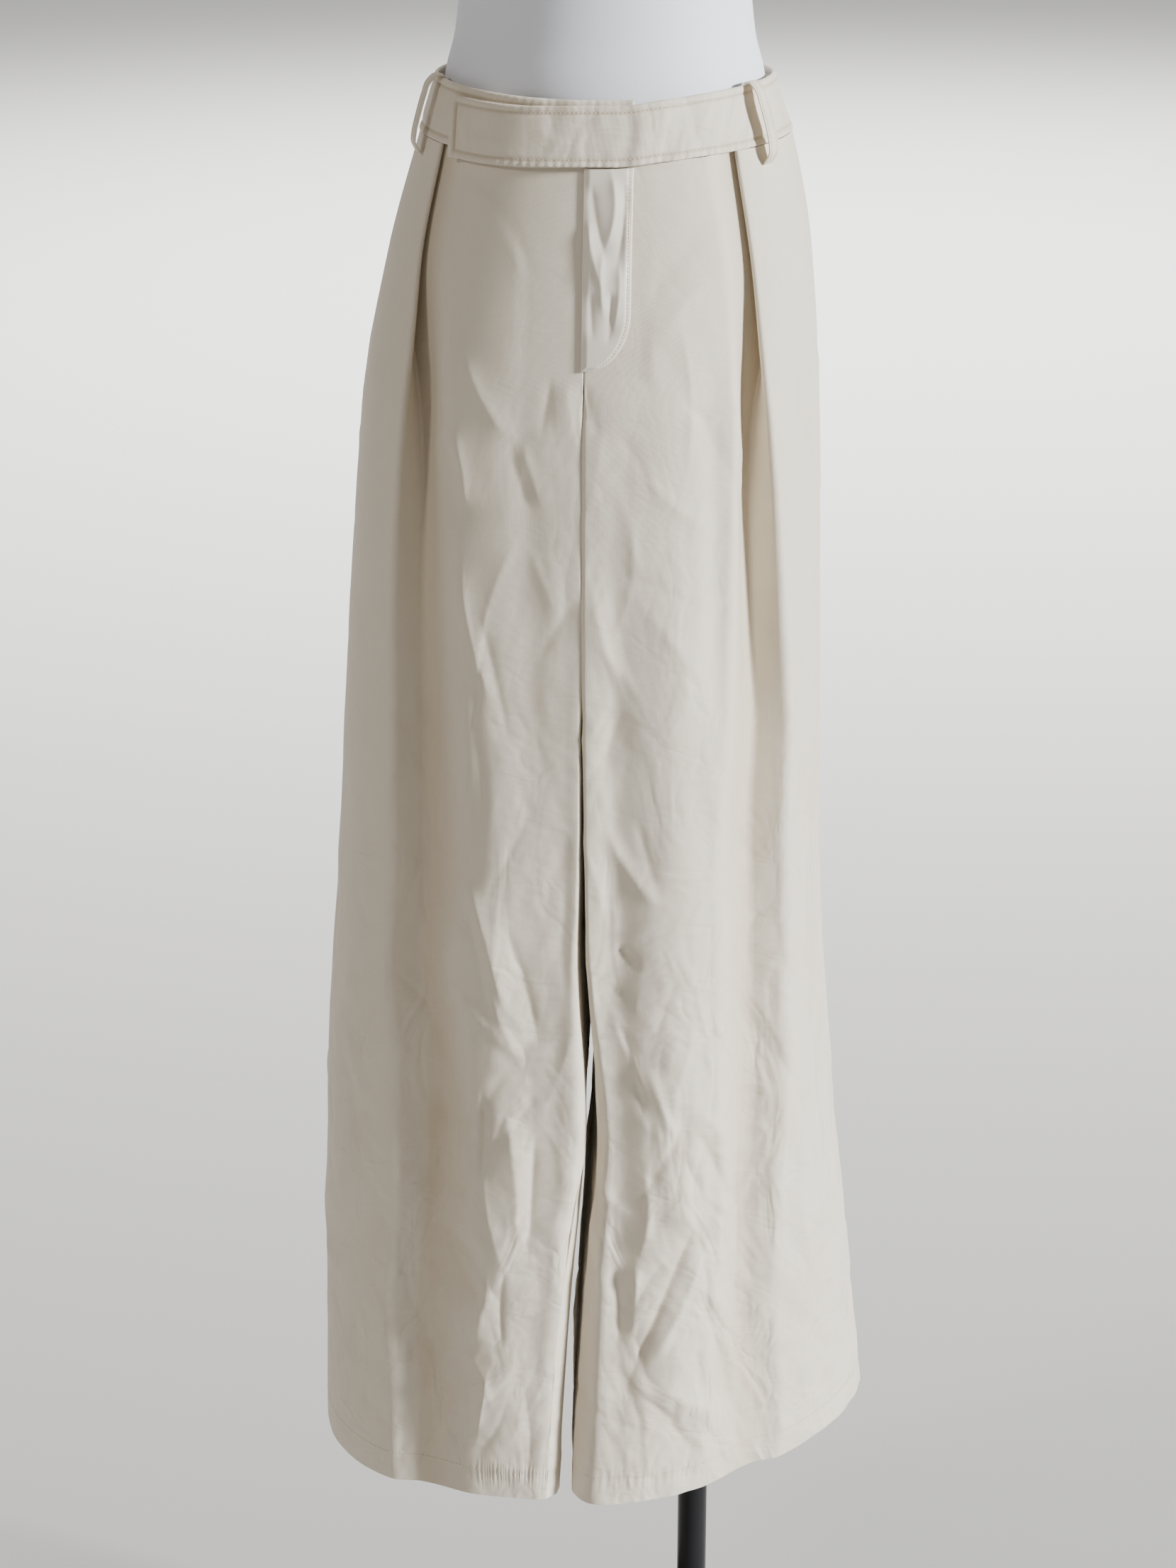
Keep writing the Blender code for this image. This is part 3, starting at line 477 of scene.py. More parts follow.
# The creases of the sides and backs, also each through three places, in millimetres: round
# each leg from its side seam towards the back, and up from the hem, with the leg first.
HIDDEN_ROWS = (
    (-1, 60, 930, 110, 800, 128, 640, 12.8, -2.6),
    (-1, 150, 880, 175, 720, 168, 540, 14.4, 2.5),
    (-1, 215, 890, 238, 800, 262, 735, 8.8, -2.2),
    (-1, 235, 800, 200, 700, 190, 610, 10.4, 2.2),
    (-1, 250, 560, 225, 420, 240, 280, 11.2, -2.5),
    (-1, 90, 520, 120, 400, 105, 250, 10.4, 2.5),
    (-1, 60, 380, 85, 260, 70, 130, 8.8, -2.3),
    (-1, 160, 330, 205, 200, 240, 60, 9.6, 2.8),
    (-1, 240, 330, 190, 190, 150, 60, 8.8, -2.6),
    (-1, 300, 420, 320, 300, 300, 160, 10.4, 2.2),
    (-1, 320, 240, 290, 140, 300, 50, 8.0, -2.2),
    (-1, 28, 290, 42, 180, 30, 60, 9.6, 1.9),
    (-1, -34, 700, -26, 560, -40, 420, 11.2, -2.0),
    (1, 50, 900, 92, 770, 100, 620, 12.0, -2.3),
    (1, 130, 860, 162, 700, 150, 560, 13.6, 2.3),
    (1, 205, 880, 232, 800, 250, 745, 8.8, -2.0),
    (1, 225, 760, 205, 640, 215, 520, 11.2, 2.3),
    (1, 70, 560, 100, 430, 84, 300, 9.6, 2.2),
    (1, 190, 470, 165, 330, 185, 200, 11.2, -2.6),
    (1, 240, 420, 262, 290, 250, 150, 9.6, 2.5),
    (1, 40, 330, 70, 210, 110, 70, 8.8, -2.5),
    (1, 130, 300, 100, 180, 60, 60, 9.6, 2.6),
    (1, 200, 210, 235, 120, 225, 45, 8.0, -2.2),
    (1, 290, 330, 280, 210, 300, 80, 9.6, 2.0),
    (1, -30, 640, -38, 500, -28, 370, 11.2, -1.9),
    (1, -30, 300, -44, 200, -36, 80, 8.8, 2.0),
)


def picked(view, x, y):
    """Where a place picked in a view lies on the garment, in whole millimetres across and up.
    The place and how far forward it is depend on each other, so they are found in rounds."""
    corner = VIEW_CORNERS[view]
    right = corner[0] + x / VIEW_ENLARGED - PHOTO_MIDDLE[0]
    down = corner[1] + y / VIEW_ENLARGED - PHOTO_MIDDLE[1]
    slope = math.tan(VIEW_TILT + math.atan(down / PHOTO_FOCUS))
    forward = PLAIN_FORWARD[3]
    for _ in range(PLACE_ROUNDS):
        level = VIEW_DISTANCE - forward
        up = VIEW_HEIGHT - level * slope
        away = level * math.cos(VIEW_TILT) + (VIEW_HEIGHT - up) * math.sin(VIEW_TILT)
        across = right * away / PHOTO_FOCUS - VIEW_ASIDE
        height, half_width, change = PLAIN_FORK if up < PLAIN_FORK[0] else PLAIN_WAIST
        share = min(abs(across) / (half_width + (height - up) * change), 0.98)
        forward = np.interp(up, PLAIN_HEIGHTS, PLAIN_FORWARD)
        forward *= (1 - share ** PLAIN_POWER) ** (1 / PLAIN_POWER)
    return round(float(across) * 1000), round(float(up) * 1000)


FRONT_CREASES = [(*picked(view, *line[:2]), *picked(view, *line[2:4]), *picked(view, *line[4:]), width, depth)
                 for view, *line, width, depth in CREASE_ROWS]


def crease_shift(across, up, weight, rows):
    """How far the creases move each point out of the cloth or into it."""
    shift = np.zeros(across.shape)
    for *line, width, depth in rows:
        a, b, c = (np.array(line[i:i + 2]) / 1000.0 for i in (0, 2, 4))
        width, depth = width / 1000.0, depth / 1000.0
        low, high = np.min((a, b, c), axis=0) - 4 * width, np.max((a, b, c), axis=0) + 4 * width
        near = (across > low[0]) & (across < high[0]) & (up > low[1]) & (up < high[1])
        near &= weight > 0.0
        if not near.any():
            continue
        place = np.column_stack((across[near], up[near]))
        t = np.linspace(0.0, 1.0, 13)[:, None]
        middle = 2.0 * b - (a + c) / 2.0
        path = (1 - t) ** 2 * a + 2 * t * (1 - t) * middle + t ** 2 * c
        best, share = np.full(len(place), 1e9), np.zeros(len(place))
        for i in range(len(path) - 1):
            run = path[i + 1] - path[i]
            s = np.clip(((place - path[i]) @ run) / (run @ run), 0.0, 1.0)
            gap = np.linalg.norm(place - path[i] - s[:, None] * run, axis=1)
            closer = gap < best
            best[closer] = gap[closer]
            share[closer] = (i + s[closer]) / (len(path) - 1)
        round_off = CREASE_ROUND * width
        profile = np.exp(-(np.sqrt(best ** 2 + round_off ** 2) - round_off) / width)
        fade = smooth(share / 0.3) * smooth((1.0 - share) / 0.3)
        shift[near] += depth * profile * fade * weight[near]
    return shift


def draped(across, up, weight):
    """How far the broad rises and falls of the fronts move each point out or in."""
    shift = np.zeros(across.shape)
    for low_at, high_at, low, high, width, depth in DRAPE_ROWS:
        share = (up * 1000 - low) / (high - low)
        off = across * 1000 - low_at - (high_at - low_at) * share
        fade = smooth(share / 0.2) * smooth((1 - share) / 0.35)
        shift += depth / 1000 * ridge(off, width) * fade
    return shift * weight


def small_creases(seed, count):
    """Short pressed creases where the cloth was crushed, more of them towards the hem."""
    chance = np.random.default_rng(seed)
    rows = []
    for _ in range(count):
        around = chance.uniform(-330, 360)
        up = 40 + 880 * chance.random() ** 1.5
        angle = math.radians(chance.normal(0, 28))
        size = chance.uniform(20, 70)
        bend = chance.normal(0, 0.14) * size
        ax, ay = math.sin(angle) * size, math.cos(angle) * size
        depth = chance.uniform(0.5, 1.6) * (-1 if chance.random() < 0.55 else 1)
        depth *= 1.0 if up < 460 else 0.6
        rows.append((around - ax, up + ay, around + bend, up, around + ax, up - ay,
                     chance.uniform(3.0, 6.0), depth))
    return rows


def soft_noise(u, v, seed):
    """Even random bumps from -1 to 1, about one unit apart."""
    values = np.random.default_rng(seed).uniform(-1.0, 1.0, (64, 64))
    i, j = np.floor(u).astype(int), np.floor(v).astype(int)
    s, t = smooth(u - i), smooth(v - j)
    i, j, i2, j2 = i % 64, j % 64, (i + 1) % 64, (j + 1) % 64
    low = values[i, j] * (1 - s) + values[i2, j] * s
    high = values[i, j2] * (1 - s) + values[i2, j2] * s
    return low * (1 - t) + high * t


def crushed(around, up, seed):
    """A net of faint sharp ridges and troughs, as in cloth that was folded away for long."""
    u = around / 0.052 + 0.7 * soft_noise(around / 0.11, up / 0.15, seed + 1)
    v = up / 0.092 + 0.7 * soft_noise(around / 0.10, up / 0.17, seed + 2)
    ridges = np.sqrt(soft_noise(u, v, seed + 3) ** 2 + 0.004)
    troughs = np.sqrt(soft_noise(u * 1.7 + 9.0, v * 1.5 + 5.0, seed + 4) ** 2 + 0.004)
    return 0.9 * (0.42 - ridges) - 0.6 * (0.42 - troughs)


def creased(side, grid, normal, around, heights):
    """How far its creases move each point of a leg out of the cloth, and how much shade is
    painted into the colour where they press it in. The cloth lies calm near the waist and round the fly."""
    height = heights[:, None]
    up = grid[..., 2] - HEM_HEIGHT
    across = grid[..., 0] * math.cos(VIEW_TURN) + grid[..., 1] * math.sin(VIEW_TURN)
    faces_front = normal @ np.array((math.sin(VIEW_TURN), -math.cos(VIEW_TURN), 0.0))
    in_front = smooth((faces_front - 0.15) / 0.3)
    everywhere = np.ones(up.shape)
    shift = crease_shift(across, up, in_front, FRONT_CREASES)
    shift += crease_shift(around, up, everywhere, [row[1:] for row in HIDDEN_ROWS if row[0] == side])
    fine = crease_shift(around, up, everywhere, small_creases(11 + side, SMALL_CREASES))
    net = crushed(around, up, 40 + 10 * side) * NET_DEPTH * (0.35 + 0.65 * smooth((0.66 - height) / 0.5))
    parting = np.array([division(h) for h in heights])[:, None]
    off_seam = smooth((np.abs(grid[..., 0] - parting) - 0.004) / 0.020)
    drape = draped(across, up, in_front * off_seam * smooth((-0.02 - grid[..., 1]) / 0.05))
    broad = drape + BROAD_DEPTH * soft_noise(around / 0.09, up / 0.24, 70 + side)
    beside_fly = smooth((np.abs(grid[..., 0]) - FLY_REACH) / 0.012) * (grid[..., 1] < 0)
    below_fly = smooth((FLY_FOOT - height) / 0.02)
    calm = smooth((WAIST_CALM - height) / 0.16)
    calm = calm * np.maximum(np.maximum(beside_fly, below_fly), grid[..., 1] > 0)
    move = shift * np.minimum(calm * 1.4, 1.0) + (fine + net + broad) * calm
    # The second value is painted shade, deeper where the creases press the cloth in.
    return move, np.clip(-(shift + fine + net) / FULL_SHADE_DEPTH, 0.0, 1.0) * 0.35


def placed(name, data):
    """A new object in the scene."""
    thing = bpy.data.objects.new(name, data)
    bpy.context.collection.objects.link(thing)
    return thing


def cloth_shell(node, outer, inner, coords, material, slot, painted_shade):
    """A closed thin shell between two grids of points, [row, column], that dresses a node,
    with the cloth's own measure of itself, in metres, as its UV map."""
    rows, columns = outer.shape[:2]
    half = rows * columns
    index = np.arange(half).reshape(rows, columns)
    quads = np.stack((index[:-1, :-1], index[:-1, 1:], index[1:, 1:], index[1:, :-1]), -1)
    faces = [quads.reshape(-1, 4), (quads[..., ::-1] + half).reshape(-1, 4)]
    for line, flip in ((index[0], True), (index[-1], False), (index[:, 0], False), (index[:, -1], True)):
        edge = np.stack((line[:-1], line[1:], line[1:] + half, line[:-1] + half), -1)
        faces.append(edge[:, ::-1] if flip else edge)
    faces = np.vstack(faces)
    points = np.vstack((outer.reshape(-1, 3), inner.reshape(-1, 3)))
    a, b, c, d = (points[faces[:, corner]] for corner in range(4))
    if np.einsum("ij,ij->i", a, np.cross(b, c) + np.cross(c, d)).sum() < 0:
        faces = faces[:, ::-1]
    mesh = bpy.data.meshes.new(node + "_cloth")
    mesh.from_pydata(points.tolist(), [], faces.tolist())
    both = np.tile(coords.reshape(-1, 2), (2, 1))
    loops = np.empty(len(mesh.loops), dtype=np.int32)
    mesh.loops.foreach_get("vertex_index", loops)
    mesh.uv_layers.new(name="cloth").data.foreach_set("uv", both[loops].ravel())
    # The painted shade of hollows is stored on each point for the material to darken the colour.
    shade = mesh.attributes.new("painted_shade", "FLOAT", "POINT")
    shade.data.foreach_set("value", np.tile(painted_shade.ravel(), 2))
    mesh.materials.append(material)
    mesh.shade_smooth()
    mesh.set_sharp_from_angle(angle=math.radians(55))
    piece = placed(node + "_cloth", mesh)
    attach(piece, "root")
    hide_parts(node)
    return piece


# A stitch's rings: how far along it each is, as a share, and how wide.
STITCH_RINGS = ((-0.5, 0.0), (-0.36, 0.8), (0.0, 1.0), (0.36, 0.8), (0.5, 0.0))
STITCH_SIDES = 5


def stitches(name, paths, pitch=0.0031, length=0.0023, radius=0.00024):
    """Rows of sewn stitches along paths of points, each path with the way out of the cloth
    and how far off it the stitches lie."""
    points, faces = [], []
    for path, out, lift in paths:
        path = path + out * lift
        run = lengths(path)
        count = int(run[-1] / pitch)
        for k in range(count):
            centre = (k + 0.5) * run[-1] / count
            ends = [places(path, run, centre + d) for d in (-0.4 * length, 0.4 * length)]
            along = unit(ends[1] - ends[0])
            up = unit(places(out, run, centre))
            across = unit(np.cross(up, along))
            middle = (ends[0] + ends[1]) / 2
            start = len(points)
            for share, wide in STITCH_RINGS:
                here = middle + along * share * length
                if wide == 0.0:
                    points.append(here - up * radius * 1.2)
                    continue
                for turn in range(STITCH_SIDES):
                    angle = 2 * math.pi * turn / STITCH_SIDES
                    spoke = across * math.cos(angle) * 1.15 + up * math.sin(angle)
                    points.append(here + spoke * radius * wide)
            first, last = start + 1, len(points) - 1
            for turn in range(STITCH_SIDES):
                after = (turn + 1) % STITCH_SIDES
                faces.append((start, first + after, first + turn))
                for ring in (first, first + STITCH_SIDES):
                    beyond = ring + STITCH_SIDES
                    faces.append((ring + turn, ring + after, beyond + after, beyond + turn))
                faces.append((last - STITCH_SIDES + turn, last - STITCH_SIDES + after, last))
    mesh = bpy.data.meshes.new(name)
    mesh.from_pydata([tuple(point) for point in points], [], faces)
    mesh.shade_smooth()
    mesh.materials.append(thread)
    piece = placed(name, mesh)
    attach(piece, "root")
    return piece


# How long the threads' waves repeat at a texture's scale of 1, and how the crumples are made:
# how many to the metre across and up, and how deep beside the rest.
WAVE_LENGTH = 0.314
CRUMPLES = (((11.0, 6.5), 1.0), ((25.0, 13.5), 0.48), ((20.0, 33.0), 0.22))
CRUMPLE_ROUND = 0.0006
GRAIN, SLUBS, PATCHES = (620.0, 620.0), (1500.0, 45.0), (9.0, 6.0)
WEAVE_HEIGHT = 0.00022


def new_material(name):
    """A new material and its nodes."""
    material = bpy.data.materials.new(name)
    material.use_nodes = True
    return material, material.node_tree


def fill(tree, node, inputs):
    """Sets a node's inputs, and links those that are another node's output."""
    for name, value in inputs.items():
        if isinstance(value, bpy.types.NodeSocket):
            tree.links.new(value, node.inputs[name])
        else:
            node.inputs[name].default_value = value


def add(tree, kind, inputs, **settings):
    """A new node with its settings and inputs."""
    node = tree.nodes.new("ShaderNode" + kind)
    for name, value in settings.items():
        setattr(node, name, value)
    fill(tree, node, inputs)
    return node


def cloth_material(name, colour, shade, roughness, sheen, weave, thread_width, crumple):
    """Woven cloth: crossing threads, a fine grain and long thin slubs as bump over a net of
    small crumples that grow towards the hem, and a colour that is a little uneven from place
    to place, with painted shade that darkens it in the cloth's hollows, creases and stitch grooves."""
    material, tree = new_material(name)
    own_map = add(tree, "UVMap", {}, uv_map="cloth").outputs["UV"]

    def mapped(scale, turn=0.0):
        """The cloth's own measure of itself, scaled and turned."""
        return add(tree, "Mapping", {"Vector": own_map, "Scale": (*scale, 1.0),
                                     "Rotation": (0.0, 0.0, turn)}).outputs["Vector"]

    def noise(scale, detail, distortion=0.0):
        return add(tree, "TexNoise", {"Vector": mapped(scale), "Scale": 1.0, "Detail": detail,
                                      "Distortion": distortion}).outputs["Fac"]

    def combined(operation, *values):
        return add(tree, "Math", dict(enumerate(values)), operation=operation).outputs["Value"]

    threads = [add(tree, "TexWave", {"Vector": mapped((1.0, 1.0), turn),
                                     "Scale": WAVE_LENGTH / thread_width, "Distortion": 1.6,
                                     "Detail": 1.0, "Detail Scale": 0.7}).outputs["Fac"]
               for turn in (0.0, math.pi / 2)]
    slubs = noise(SLUBS, 2.0)
    relief = combined("MULTIPLY_ADD", noise(GRAIN, 3.0), 1.3, combined("ADD", *threads))
    relief = combined("MULTIPLY_ADD", slubs, 1.2, relief)
    depth = 0.0
    for scale, share in CRUMPLES:
        line = combined("SUBTRACT", noise(scale, 2.0, 0.9), 0.5)
        line = combined("ADD", combined("MULTIPLY", line, line), CRUMPLE_ROUND)
        depth = combined("MULTIPLY_ADD", combined("SQRT", line), share, depth)
    up = add(tree, "SeparateXYZ", {"Vector": own_map}).outputs["Y"]
    lower = add(tree, "MapRange", {"Value": up, "From Min": 0.20, "From Max": 1.02,
                                   "To Min": crumple, "To Max": crumple * 0.18},
                interpolation_type="SMOOTHSTEP").outputs["Result"]
    crumples = add(tree, "Bump", {"Strength": 1.0, "Distance": 1.0,
                                  "Height": combined("MULTIPLY", depth, lower)})
    bump = add(tree, "Bump", {"Strength": weave, "Distance": WEAVE_HEIGHT, "Height": relief,
                              "Normal": crumples.outputs["Normal"]})
    # Painted shade: a per-point attribute darkens the colour towards the shade colour in hollows, creases and
    # stitch grooves. The patches and slubs add random unevenness of tone.
    painted_shade = add(tree, "Attribute", {}, attribute_name="painted_shade").outputs["Fac"]
    amount = combined("MULTIPLY_ADD", noise(PATCHES, 5.0), 0.22, painted_shade)
    amount = combined("MULTIPLY_ADD", slubs, 0.22, amount)
    colours = add(tree, "Mix", {"A": (*colour, 1.0), "B": (*shade, 1.0), "Factor": amount},
                  data_type="RGBA")
    fill(tree, tree.nodes["Principled BSDF"], {
        "Base Color": colours.outputs["Result"], "Normal": bump.outputs["Normal"],
        "Roughness": roughness, "Specular IOR Level": 0.42, "Sheen Weight": sheen,
        "Sheen Roughness": 0.45, "Sheen Tint": (1.0, 0.97, 0.92, 1.0)})
    return material


# The second colour is the painted shade of hollows, and also the deeper tone of the random patches and slubs.
crepe = cloth_material("cream crepe", (0.81, 0.735, 0.605), (0.58, 0.48, 0.35), roughness=0.56,
                       sheen=0.22, weave=0.40, thread_width=0.00055, crumple=0.013)
thread, tree = new_material("sewing thread")
twist = add(tree, "TexNoise", {"Vector": add(tree, "TexCoord", {}).outputs["Object"],
                               "Scale": 1800.0})
tint = add(tree, "ValToRGB", {"Fac": twist.outputs["Fac"]})
tint.color_ramp.elements[0].color = (0.50, 0.44, 0.35, 1.0)
tint.color_ramp.elements[1].color = (0.74, 0.68, 0.57, 1.0)
fill(tree, tree.nodes["Principled BSDF"], {"Base Color": tint.outputs["Color"], "Roughness": 0.5})

low_rows = np.linspace(0.0, CROTCH, round(LEG_ROWS * 0.74))
high_rows = np.linspace(0.0, 1.0, LEG_ROWS - len(low_rows) + 1)[1:] ** 1.2
row_heights = np.concatenate((low_rows, CROTCH + (PANEL_TOP - CROTCH) * high_rows))
for side in (-1, 1):
    grid = np.array([leg_row(side, height) for height in row_heights])
    normal = facing(grid, side)
    run = np.linalg.norm(np.diff(grid, axis=1), axis=2)
    around = np.concatenate((np.zeros((LEG_ROWS, 1)), np.cumsum(run, axis=1)), axis=1)
    around = around - around[:, SIDE_COLUMN:SIDE_COLUMN + 1]
    move, painted_shade = creased(side, grid, normal, around, row_heights)
    height = row_heights[:, None]
    columns = np.arange(grid.shape[1])
    edge = np.minimum(columns, columns[-1] - columns)
    seam = np.minimum(edge, np.abs(columns - SIDE_COLUMN))
    first_bend = sum(INNER_COLUMNS) + FLANK_COLUMNS
    shows = smooth(np.abs(columns - first_bend - BEND_STEPS - 0.5) / (BEND_STEPS + 7) - 0.55)
    puckers = np.sin(columns * 1.9 + 2.0 * np.sin(columns * 0.37))
    hem = -HEM_LINE_DEPTH * ridge(height - HEM_TURN, 0.0022)
    hem = hem + PUCKER_DEPTH * puckers * ridge(height - HEM_TURN, 0.008)
    sewn = -SEAM_DEPTH * ridge(seam, 0.8)
    outer = grid + normal * ((move * smooth(edge / 5.0) + hem) * shows + sewn)[..., None]
    normal = facing(outer, side)
    thick = CLOTH + TURN_UP_WALL * smooth((HEM_TURN + 0.001 - height) / 0.001)
    inner = outer - normal * thick[..., None]
    above = row_heights > CROTCH
    for points in (outer, inner):
        for column in (0, -1):
            points[above, column, 0] = side * np.maximum(side * points[above, column, 0], SEAM_GAP / 2)
    coords = np.dstack(np.broadcast_arrays(around, height))
    # Painted shade deepens the colour in the pleat's trough beside its first bend.
    trough_shade = ridge(columns - first_bend - 1, 12.0) * smooth((first_bend + 9 - columns) / 8.0)
    painted_shade = painted_shade + 0.50 * trough_shade
    hem_row = int(np.searchsorted(row_heights, HEM_TURN))
    for kind, first, last in (("front", 0, SIDE_COLUMN), ("back", SIDE_COLUMN, columns[-1])):
        panel = slice(first, last + 1)
        cloth = outer[:, panel].copy(), inner[:, panel].copy()
        for points in cloth:
            for column, inward in ((0, 1), (-1, -2)):
                closed = (row_heights <= CROTCH) | ((first, last)[column] == SIDE_COLUMN)
                step = unit(points[:, inward] - points[:, column]) * SEAM_GAP / 2
                points[closed, column] += step[closed]
        name = kind + "_" + leg_name(side)
        piece = cloth_shell(name, *cloth, coords[:, panel], crepe, "cream_crepe", painted_shade[:, panel])
        line = (cloth[0][hem_row], normal[hem_row, panel], 0.00012)
        sewing = stitches(name + "_hem_stitches", [line])
        width = max(np.linalg.norm(np.diff(cloth[0], axis=1), axis=2).sum(axis=1))

# ---------------------------------------------------------------------------------------
# The waistband: a straight band of doubled crepe in two lengths, seamed at the centre back.
# The left length crosses the front as a tab, over the right length's underlap. Both are
# turned in at their edges and topstitched just inside them.
# The tab clears the underlap by TAB_AIR, and drops and flares a little towards its end. The
# cloth sinks at the stitches, and gathers and rises at the rim outside them.
BAND_HEIGHT = 0.042
BAND_WALL = 0.0026
BAND_PROUD = 0.0010
TAB_LENGTH = 0.106
UNDERLAP_LENGTH = 0.032
TAB_AIR = 0.0012
TAB_LIFT_START = 0.085
TAB_FLARE = 0.35
TAB_DROP_START = 0.0030
TAB_DROP_END = 0.0055
STITCH_INSET = 0.0052
TAB_END_RISE = 0.0013
GROOVE_DEPTH, RIM_RISE, SLACK = 0.0007, 0.00025, 0.0008
GATHER_DEPTH, GATHER_LENGTH = 0.00018, 0.00092
FRONT_STRETCH = 0.115
EDGE_STEPS = 6
THINNEST_EDGE = 0.25
RING_STEPS = 600
BAND_ROWS, BAND_NEAR, BAND_FAR = 22, 190, 150
RING_TANGENT_STEP = 0.002


def waist_ring(height):
    """The waist's level section as fine points, from the back centre round the wearer's
    right to the front centre and on round the left, with distances from the front centre."""
    halves = []
    for side in (-1, 1):
        section = outline(side, height)
        start = INSEAM_Y + section["front_start"]
        end = section["total"] - (section["back_start"] - INSEAM_Y)
        half = places(section["points"], section["length"], np.linspace(start, end, RING_STEPS))
        half[0, 0] = half[-1, 0] = 0.0
        half[:, 0] *= side
        halves.append(half)
    ring = np.vstack((halves[0][::-1], halves[1][1:]))
    length = lengths(ring)
    return ring, length - length[RING_STEPS - 1]


def on_ring(ring, length, distance, out):
    """Points at distances round the waist from the front centre, and out from it."""
    ahead, behind = (places(ring, length, distance + step)
                     for step in (RING_TANGENT_STEP, -RING_TANGENT_STEP))
    ahead = unit(ahead - behind)
    way_out = np.stack((ahead[..., 1], -ahead[..., 0]), axis=-1)
    return places(ring, length, distance) + way_out * np.asarray(out)[..., None]


def from_edge(span, round_off, middle_steps):
    """Distances across a piece of cloth, close together over its rounded edges."""
    turn = np.linspace(0.16, math.pi / 2, EDGE_STEPS)
    edge = round_off * (1 - np.cos(turn))
    middle = np.linspace(edge[-1], span - edge[-1], middle_steps)[1:-1]
    return np.concatenate((edge, middle, (span - edge)[::-1]))


def half_wall(gap, wall):
    """Half a folded piece's thickness at a distance from its rounded edge."""
    near = np.clip(1.0 - gap / (wall / 2), 0.0, 1.0)
    return wall / 2 * np.maximum(np.sqrt(np.maximum(1.0 - near ** 2, 0.0)), THINNEST_EDGE)


low_ring, high_ring = waist_ring(OUTSEAM - BAND_HEIGHT), waist_ring(OUTSEAM)
climb = from_edge(BAND_HEIGHT - SEAM_GAP, BAND_WALL / 2, BAND_ROWS)
for side, end in ((1, -TAB_LENGTH), (-1, UNDERLAP_LENGTH)):
    name = "waistband_" + leg_name(side)
    limit = min(side * ring[1][-1 if side > 0 else 0] for ring in (low_ring, high_ring))
    turned_in = from_edge(0.02, BAND_WALL / 2, 14)[:EDGE_STEPS + 7]
    near = np.linspace(turned_in[-1], FRONT_STRETCH - side * end, BAND_NEAR)[1:]
    far = np.linspace(FRONT_STRETCH - side * end, limit - side * end, BAND_FAR + 1)[1:]
    from_end = np.concatenate((turned_in, near, far))
    e, d = np.meshgrid(climb, end + side * from_end, indexing="ij")
    u = (e + SEAM_GAP) / BAND_HEIGHT
    lift = drop = np.zeros(d.shape)
    if side > 0:
        lift = (BAND_WALL + TAB_AIR) * smooth((TAB_LIFT_START - d) / 0.035)
        drop = TAB_DROP_START * smooth((TAB_LIFT_START - 0.030 - d) / 0.035)
        drop = drop + (TAB_DROP_END - TAB_DROP_START) * smooth((0.02 - d) / 0.12)
    to_edge = np.minimum(np.minimum(e - climb[0], climb[-1] - e), from_end)
    half = half_wall(to_edge, BAND_WALL)
    groove = ridge(to_edge - STITCH_INSET, 0.0009)
    rim = 1.0 - smooth((to_edge - STITCH_INSET + 0.001) / 0.0015)
    gathers = np.sin(d / GATHER_LENGTH + 2.6 * soft_noise(d / 0.021, e * 0 + 3.0, 5)) * rim
    gathers = gathers * (0.35 + 0.65 * smooth((0.5 - u) / 0.2)) * smooth(from_end / 0.012)
    slack = SLACK * soft_noise(d / 0.034 + u * 0.6, u * 1.4, 8 + side) * smooth((to_edge - 0.006) / 0.006)
    tab_end = TAB_END_RISE * (1.0 - smooth((from_end - STITCH_INSET + 0.0012) / 0.0015)) * (side > 0)
    relief = -GROOVE_DEPTH * groove + GATHER_DEPTH * gathers + RIM_RISE * rim + tab_end + slack
    middle = BAND_PROUD - BAND_WALL / 2 + lift + drop * TAB_FLARE
    layers = []
    for offset in (middle + half + relief, middle - half):
        flat = (1 - u)[..., None] * on_ring(*low_ring, d, offset)
        flat = flat + u[..., None] * on_ring(*high_ring, d, offset)
        flat[:, -1, 0] = side * SEAM_GAP / 2
        layer_dip = (1 - u) * dip(OUTSEAM - BAND_HEIGHT, flat[..., 1]) + u * dip(OUTSEAM, flat[..., 1])
        z = HEM_HEIGHT + OUTSEAM - BAND_HEIGHT + SEAM_GAP + e - drop - layer_dip
        layers.append(np.dstack((flat, z)))
    outer, inner = layers
    # The stitch groove's mask doubles as painted shade, darkening the colour along the stitches.
    piece = cloth_shell(name, outer, inner, np.dstack((d, e)), crepe, "cream_crepe", 0.8 * groove)
    way_out = unit(outer - inner + 1e-9)
    low = int(np.argmin(abs(climb - climb[0] - STITCH_INSET)))
    high = int(np.argmin(abs(climb[-1] - climb - STITCH_INSET)))
    first = int(np.argmin(abs(from_end - STITCH_INSET)))
    stretches = [(row, slice(first, None)) for row in (low, high)] + [(slice(low, high + 1), first)]
    lines = [(outer[stretch], way_out[stretch], 0.00008) for stretch in stretches]
    sewing = stitches(name + "_stitches", lines)

# ---------------------------------------------------------------------------------------
# Five belt loops: narrow strips of crepe with both edges folded in and stitched, tacked
# down below the band and over its top edge, and standing off it between.
LOOP_WIDTH = 0.010
LOOP_WALL = 0.0012
